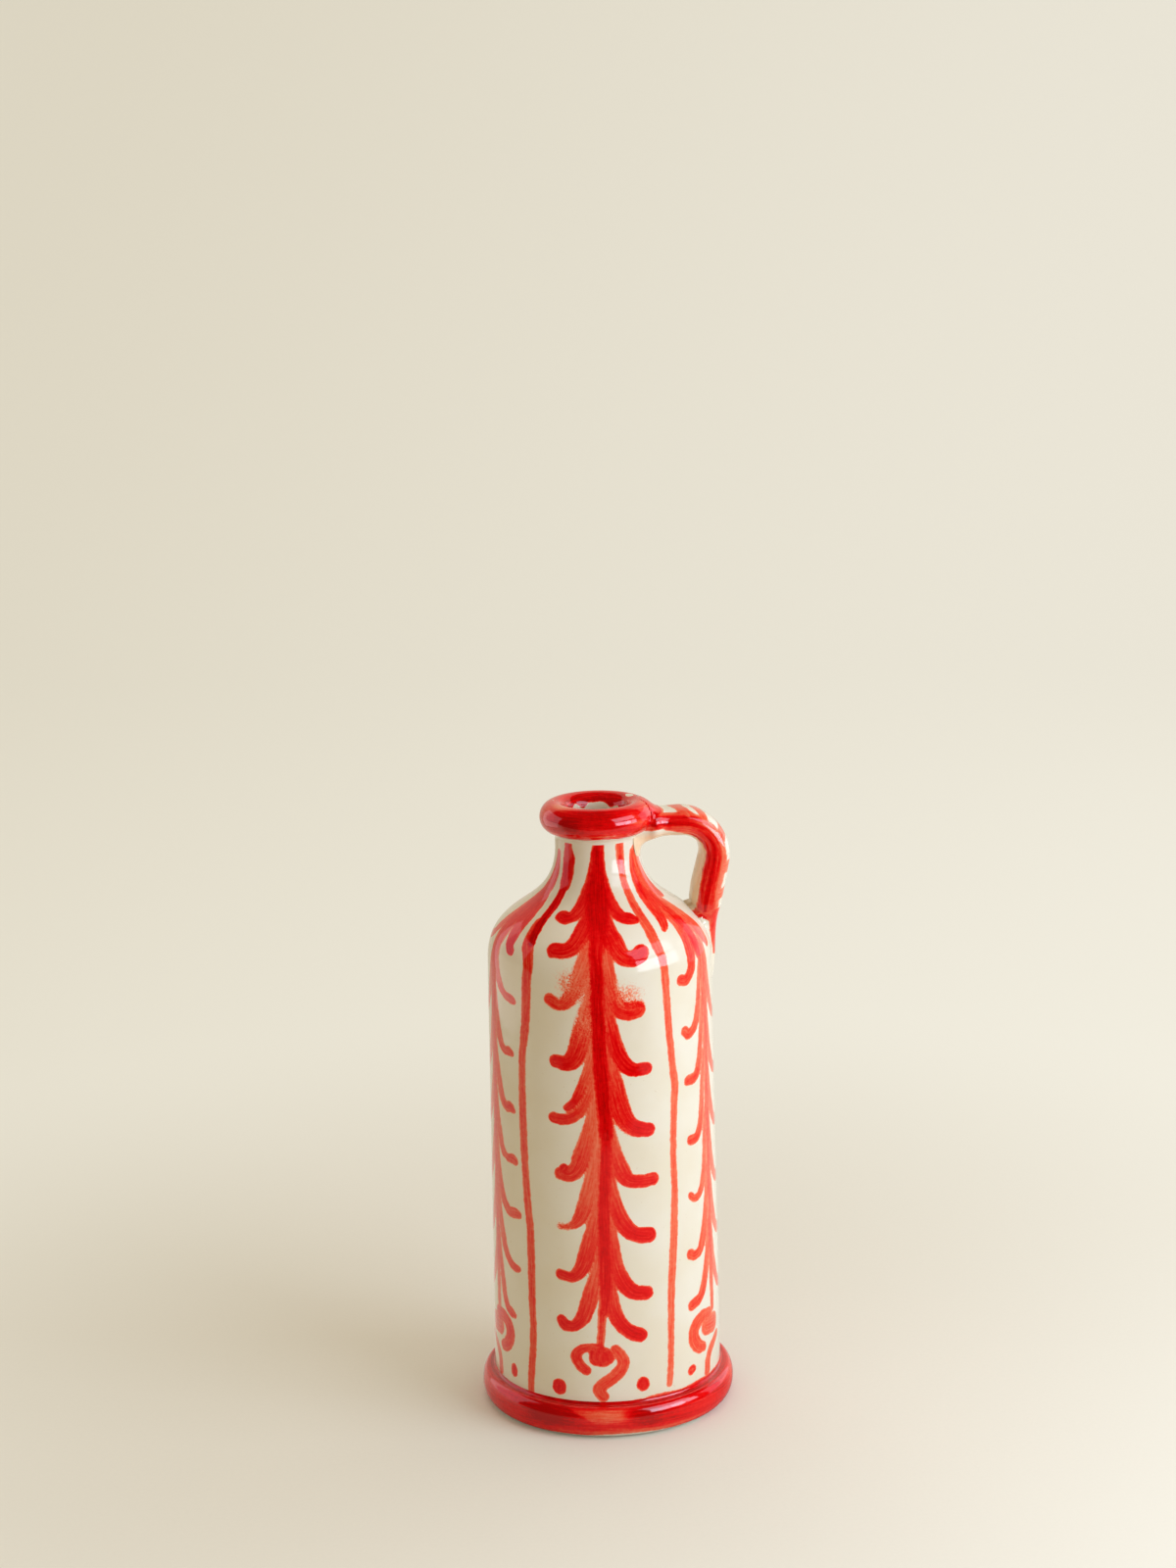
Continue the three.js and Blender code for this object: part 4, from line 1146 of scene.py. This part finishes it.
def paper_material(back, side):
    """Plain paper for the light. The camera, and the gloss that looks behind the pot, see it paler: a painted glow,
    weaker near the pot and brighter towards the right as painted light. Gloss in front of the pot sees it darker,
    as a painted dark reflection.
    """
    material, t = new_material("pale_paper")
    place = t.node("ShaderNodeTexCoord").outputs["Object"]
    x, y, z = t.split(place)
    path = t.node("ShaderNodeLightPath").outputs
    leaning = back + side * PALE_LEAN
    behind = t.eased(t.times_plus(x, leaning.x, t.times(y, leaning.y)), -0.04, 0.10)
    colour = t.mixed(t.noise(t.millimetres(), 0.6, 2.0), PAPER_DARK, PAPER_LIGHT)
    glossy_front = t.times(path["Is Glossy Ray"], t.math("SUBTRACT", 1.0, behind))
    paper = t.node("ShaderNodeBsdfDiffuse", Color=t.mixed(t.times(glossy_front, 0.55), colour, BLACK))
    # Painted light: for the camera the paper glows brighter towards the right and a little darker higher up
    rightwards = t.times_plus(z, -0.3, t.times_plus(x, -side.x, t.times(y, -side.y)))
    shown = t.mixed(t.eased(rightwards, -0.9, 0.7), PAPER_LEFT, PAPER_RIGHT)
    pale = t.node("ShaderNodeEmission", Color=shown, Strength=1.0)
    away = t.node("ShaderNodeVectorMath", {"operation": "LENGTH"}, Vector=place).outputs["Value"]
    seen = t.times(path["Is Camera Ray"], t.eased(away, 0.07, 0.55, 0.08, PAPER_LIFT))
    seen = t.times_plus(t.times(path["Is Glossy Ray"], behind), PALE_GLOSS, seen)
    both = t.node("ShaderNodeMixShader", Fac=seen)
    t.feed(both, 1, paper.outputs[0])
    t.feed(both, 2, pale.outputs[0])
    t.node("ShaderNodeOutputMaterial", Surface=both.outputs[0])
    return material


def sweep():
    """A paper sweep: flat floor that ends a little in front of the pot, and a wide curve up behind.
    A flat sheet round it, which only the camera sees, hides its edges in other views."""
    turn = math.radians(FRONT_TURN + 180)
    back = Vector((math.cos(turn), math.sin(turn), 0))
    side = Vector((-back.y, back.x, 0))
    material = paper_material(back, side)
    line = [(-PAPER_EDGE, 0.0), (0.6, 0.0), (CURVE_START, 0.0)]
    line += [(CURVE_START + CURVE_RADIUS * math.sin(a), CURVE_RADIUS - CURVE_RADIUS * math.cos(a))
             for a in np.linspace(0.1, math.pi / 2, 16)]
    line += [(CURVE_START + CURVE_RADIUS, PAPER_TOP)]
    vertices = [back * away + side * across + Vector((0, 0, up)) for away, up in line
                for across in (-PAPER_SIDE, PAPER_SIDE)]
    faces = [(2 * k, 2 * k + 1, 2 * k + 3, 2 * k + 2) for k in range(len(line) - 1)]
    mesh = plain_mesh("paper_sweep", vertices, faces)
    mesh.polygons.foreach_set("use_smooth", np.ones(len(mesh.polygons), bool))
    mesh.materials.append(material)
    placed("paper_sweep", mesh)
    beside = ((-FAR, -FAR, -PAPER_EDGE, FAR), (-PAPER_EDGE, PAPER_SIDE, FAR, FAR),
              (-PAPER_EDGE, -FAR, FAR, -PAPER_SIDE))
    vertices = [back * away + side * across for a, b, c, d in beside
                for away, across in ((a, b), (c, b), (c, d), (a, d))]
    mesh = plain_mesh("paper_surround", vertices, [range(4 * k, 4 * k + 4) for k in range(len(beside))])
    mesh.materials.append(material)
    surround = placed("paper_surround", mesh)
    for rays in ("diffuse", "glossy", "transmission", "shadow"):
        setattr(surround, "visible_" + rays, False)


def room_light():
    """Warm, even light from the room, which reflects as a dim room."""
    world = bpy.data.worlds.new("room")
    bpy.context.scene.world = world
    world.use_nodes = True
    world.node_tree.nodes.clear()
    t = Tree(world.node_tree)
    path = t.node("ShaderNodeLightPath").outputs
    colour = t.mixed(path["Is Glossy Ray"], ROOM_WARM, ROOM_DIM)
    colour = t.mixed(path["Is Camera Ray"], colour, ROOM_PALE)
    glow = t.node("ShaderNodeBackground", Color=colour, Strength=1.0)
    t.node("ShaderNodeOutputWorld", Surface=glow.outputs[0])


place_camera()
sweep()
room_light()
for name, *sizes in (("window_pane_left", 47, 0.31, 0.75, 0.25, 0.25, 5.8),
                     ("window_pane", 65, 0.31, 0.75, 0.20, 0.25, 7.6),
                     ("window_pane_right", 80, 0.31, 0.75, 0.16, 0.25, 3.6),
                     ("window_above", 62, 0.72, 0.80, 0.80, 0.36, 2.5),
                     ("pale_wall_right", 122, 0.40, 1.2, 1.0, 0.8, 0.75)):
    lit_panel(name, *sizes, DAYLIGHT)
soft = lit_panel("soft_above", 180, 2.4, 0.5, 2.0, 2.0, 1.4, (1.0, 0.99, 0.96))
soft.visible_glossy = False
card = lit_panel("card_left", -107, 0.25, 0.47, 0.46, 0.50, 0.75, (1.0, 0.90, 1.0))
card.visible_diffuse = False
bpy.context.scene.view_settings.view_transform = "Standard"
